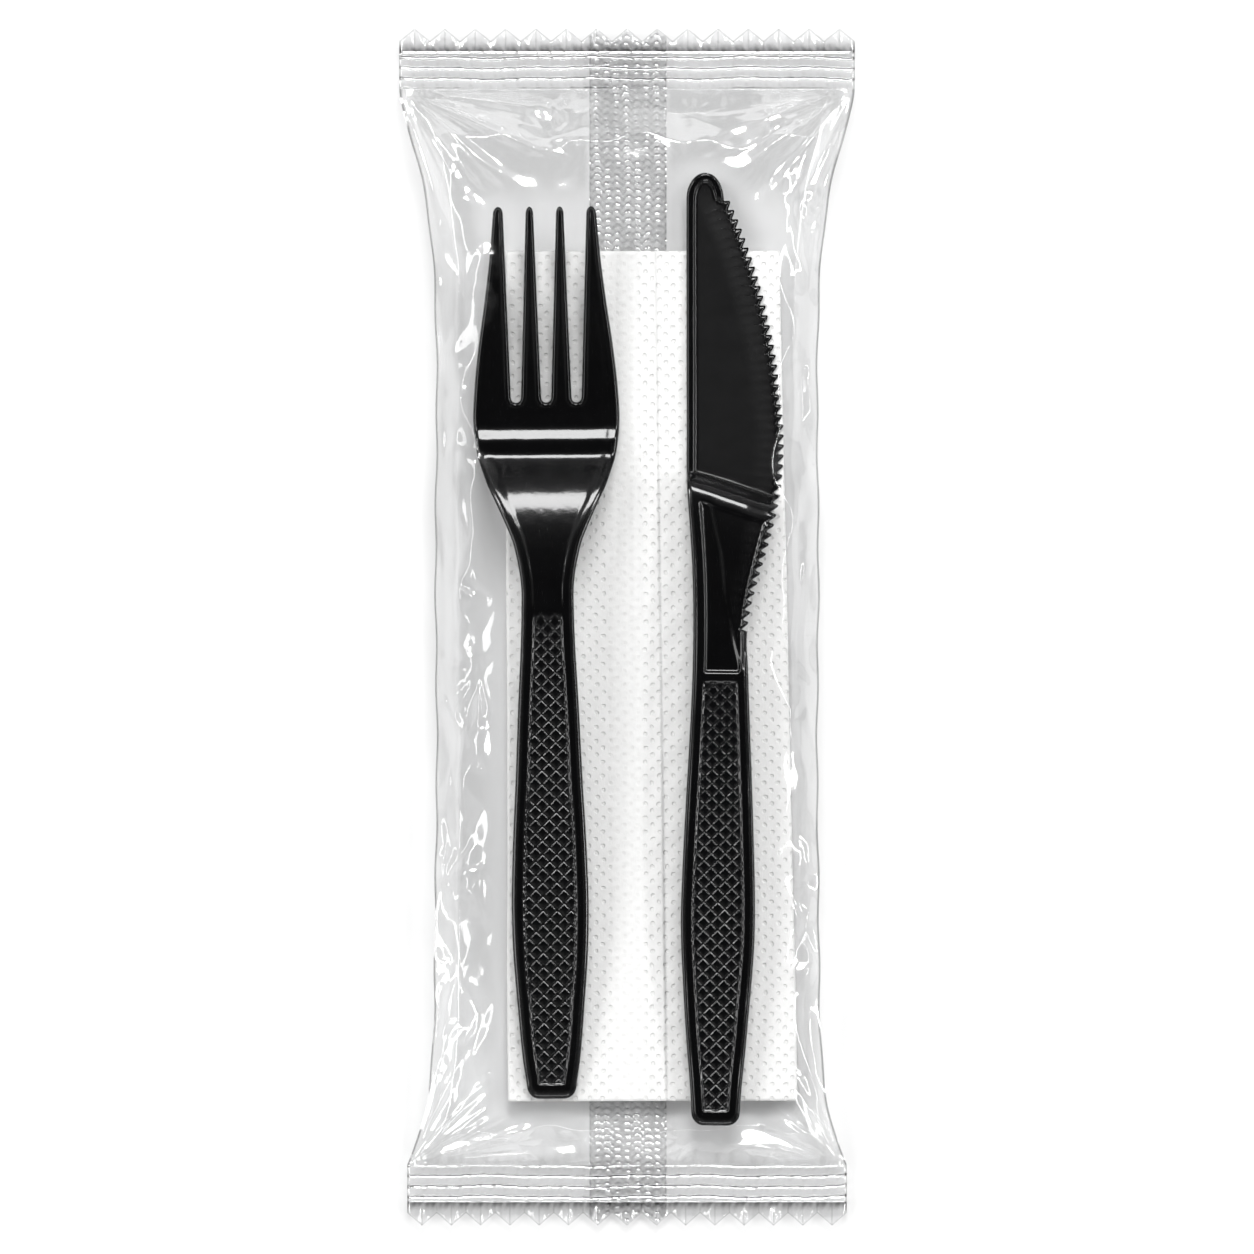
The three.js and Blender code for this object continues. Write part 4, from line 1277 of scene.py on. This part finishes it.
    def seal_strip(self, end: PackEnd) -> bpy.types.Object:
        """One crimped and toothed seal, its cut edge curled down a little."""
        half = float(self.half_width(np.array([end.value * self.inner_end]))[0])
        across = np.linspace(-half, half, self.teeth * 24 + 1)
        share = np.concatenate([np.linspace(0.0, 0.96, 96), np.linspace(0.966, 1.0, 7)])
        x, t = np.meshgrid(across, share)
        out = t * (self.seal - self.setback(x, half))
        phase = self.tooth_phase(x, half)
        crimp = self.crimp(x, out)
        level = self.seal_height + crimp + self.pleats(x, out, phase)
        curl = 1.0 - ease(np.minimum((1.0 - t) * self.seal, half - np.abs(x)), 0.0, 0.45)
        level = level + 0.25 * np.sin(x / 13.0 + end.value) * t - 0.3 * curl
        y = end.value * (self.inner_end + out)
        faces = cells(*x.shape)
        if end is PackEnd.NEAR:
            faces = faces[:, ::-1]
        shell = Shell(stacked(x, y, level), faces)
        # painted shade: the rib grooves, the teeth's fold lines and one flank of each tooth, and the curled
        # cut edge are made more opaque and darker
        crest = 1.0 - ease(triangle_wave(2.0 * phase), 0.0, 0.16)
        toothed = ease(out, self.seal - self.tooth_strip, self.seal - 2.5)
        groove = np.clip(1.0 - crimp / 0.25, 0.0, 1.1) ** 1.6 * (1.0 - toothed)
        leaning = ease(np.cos(2.0 * math.pi * phase + 0.6 * np.sin(x)), -0.25, 0.25)
        folds = (0.5 * crest + 0.2 * leaning) * toothed
        shell.field("density_and_shade", 1.7 * groove * ease(out, 0.0, 0.4) + folds + 1.2 * curl)
        return shell.build(f"film_seal_{end.name.lower()}")

    def fin(self) -> bpy.types.Object:
        """The lengthwise back seal, laid flat and knurled all over into square dents."""
        across = np.linspace(self.fin_left, self.fin_right, 74)
        x, share = np.meshgrid(across, np.linspace(-1.0, 1.0, 1000))
        half = np.where(share > 0, *self.cut_half)
        y = share * (self.length / 2 - 0.3 - self.setback(x, half))
        row = y + 0.25 * np.sin(y / 5.3) + 0.2 * np.sin(x * 1.9 + y / 9.0)
        column = x + 0.12 * np.sin(y) + 0.2 * np.sin(y / 7.7)
        dent = cosine_wave(column / self.knurl_across) * cosine_wave(row / self.knurl_along)
        cords = 0.6 * np.cos(2.0 * math.pi * row / self.knurl_along + 0.6)
        uneven = 1.0 + 0.5 * np.sin(x * 0.9 + y * 0.35) * np.sin(y * 0.21 + 1.0)
        knurl = 0.1 * (dent + cords) * uneven + 0.03 * np.sin(x * 4.1 + y * 2.3) * np.sin(y * 3.7)
        up = (self.seal_height - 0.6) * self.near_seal(y)
        shell = Shell(stacked(x, y, np.maximum(0.26 + knurl, 0.03) + up), cells(*x.shape)[:, ::-1])
        # the fin is more opaque for its fused layers, and more so in the knurl's low dents and along its
        # edges: painted shade in the dents and a painted dark edge line
        edge = 1.0 - ease(np.minimum(x - self.fin_left, self.fin_right - x), 0.1, 0.5)
        shell.field("density_and_shade", np.clip(0.4 - 4.5 * knurl, 0.0, 1.2) + 0.4 * edge)
        return shell.build("film_back_fin")

    def build(self) -> list[bpy.types.Object]:
        """Makes every panel of the sheet and dresses them in film, heavier where it is fused."""
        front_film = ClearFilm("clear_film")
        back_film = ClearFilm("clear_film_back", clear=(0.984, 0.985, 0.986), mirror=0.055, density_and_shade=0.09)
        fused = ClearFilm("clear_film_fused", (0.955, 0.957, 0.96), 0.06, 0.4, 0.05, 0.12, 2.5, 0.6)
        knurled = ClearFilm("clear_film_knurled", (0.985, 0.986, 0.987), 0.03, 0.46, 0.02, 0.16, 3.0, 0.6)
        panels = [(self.front(), front_film), (self.back(), back_film), (self.fin(), knurled)]
        panels += [(self.seal_strip(end), fused) for end in PackEnd]
        for panel, finish in panels:
            dress(panel, finish, "clear_film", "film_wrapper")
        return [panel for panel, _ in panels]


# ---------------------------------------------------------------- studio


@dataclass(frozen=True)
class Softbox:
    """An area light that faces the pack from well outside it, so that it lights it evenly.

    Azimuth is in degrees round from +X towards +Y, and polar in degrees down from overhead. Width
    runs along the horizon and height up the arc, as shares of the light's distance. A radiance
    of 1 is what a white table shows as white.
    """

    name: str
    azimuth: float
    polar: float
    width: float
    height: float
    radiance: float

    def build(self, distance: float) -> None:
        """Hangs the light at that distance from the middle of the pack, in metres."""
        around, down = math.radians(self.azimuth), math.radians(self.polar)
        direction = Vector((
            math.cos(around) * math.sin(down), math.sin(around) * math.sin(down), math.cos(down),
        ))
        data = bpy.data.lights.new(self.name, "AREA")
        data.shape = "RECTANGLE"
        data.size, data.size_y = self.width * distance, self.height * distance
        data.energy = self.radiance * math.pi * data.size * data.size_y
        light = linked(self.name, data)
        light.location = direction * distance
        light.rotation_euler = direction.to_track_quat("Z", "Y").to_euler()
        light.visible_camera = False


@dataclass
class Studio:
    """A pale table, soft lights all round and a long lens looking straight down."""

    field_width: float = 250.8
    camera_height: float = 3000.0
    sensor: float = 36.0
    room_light: float = 0.55
    light_distance: float = 3.0
    floor_reach: float = 30000.0
    backdrop: tuple[float, float, float, float] = (0.93, 0.93, 0.935, 1.0)
    softboxes: Sequence[Softbox] = (
        Softbox("key_far_end", 85.0, 41.0, 0.44, 0.24, 21.0),
        Softbox("far_left", 145.0, 42.5, 0.16, 0.14, 24.0),
        Softbox("far_right", 35.0, 42.5, 0.16, 0.14, 24.0),
        Softbox("right_strip", 0.0, 50.0, 0.6, 0.1, 16.0),
        Softbox("left_strip", 180.0, 50.0, 0.8, 0.28, 5.0),
        Softbox("near_end", 270.0, 52.0, 0.6, 0.12, 6.0),
    )

    def floor(self) -> None:
        """A wide flat table just under the pack."""
        reach = self.floor_reach
        corner = np.array([[-reach, -reach, 0], [reach, -reach, 0], [reach, reach, 0], [-reach, reach, 0]])
        table = Shell(corner - np.array([0, 0, 0.1]), np.array([[0, 1, 2, 3]])).build("studio_table")
        table.data.materials.append(StudioFloor().material())

    def camera(self) -> None:
        """The camera, over the middle of the pack, its frame as wide as the field."""
        data = bpy.data.cameras.new("overhead_camera")
        data.sensor_width = self.sensor
        data.lens = self.sensor * self.camera_height / self.field_width
        data.clip_start = 0.1
        data.clip_end = 100.0
        camera = linked("overhead_camera", data)
        camera.location = (0.0, 0.0, self.camera_height * MM)
        bpy.context.scene.camera = camera

    def surroundings(self) -> None:
        """A pale backdrop to the eye; to everything else a dim, uneven room, darkest overhead."""
        board = Board(bpy.data.worlds.new("studio_room"))
        direction = board.node("TexCoord", out="Generated")
        aside = board.node("SeparateXYZ", {"Vector": direction}, "Z").mapped(0.97, 0.8)
        cloud = board.node("TexNoise", {"Vector": direction, "Scale": 2.3, "Detail": 0.5})
        level = aside * cloud.mapped(0.4, 0.6, to_min=0.1, to_max=self.room_light)
        room = board.node("Background", {"Color": level})
        seen = board.node("Background", {"Color": self.backdrop})
        to_camera = board.node("LightPath", out="Is Camera Ray")
        mixed = board.node("MixShader", {0: to_camera, 1: room, 2: seen})
        bpy.context.scene.world = board.finish(mixed, "OutputWorld")

    def build(self) -> None:
        """Sets up everything that isn't the pack."""
        self.floor()
        self.camera()
        self.surroundings()
        for softbox in self.softboxes:
            softbox.build(self.light_distance)
        bpy.context.scene.cycles.transparent_max_bounces = 24
        bpy.context.scene.view_settings.view_transform = "Standard"


def main() -> None:
    """Builds the studio and the pack's pieces in order and reports each one."""
    logging.basicConfig(level=logging.INFO, format="%(message)s")
    Studio().build()
    pieces = [Fork().build(), Knife().build(), *Napkin().build(), *Wrapper().build()]
    for piece in pieces:
        log.info("%s: %d faces", piece.name, len(piece.data.polygons))


if __name__ == "__main__":
    main()
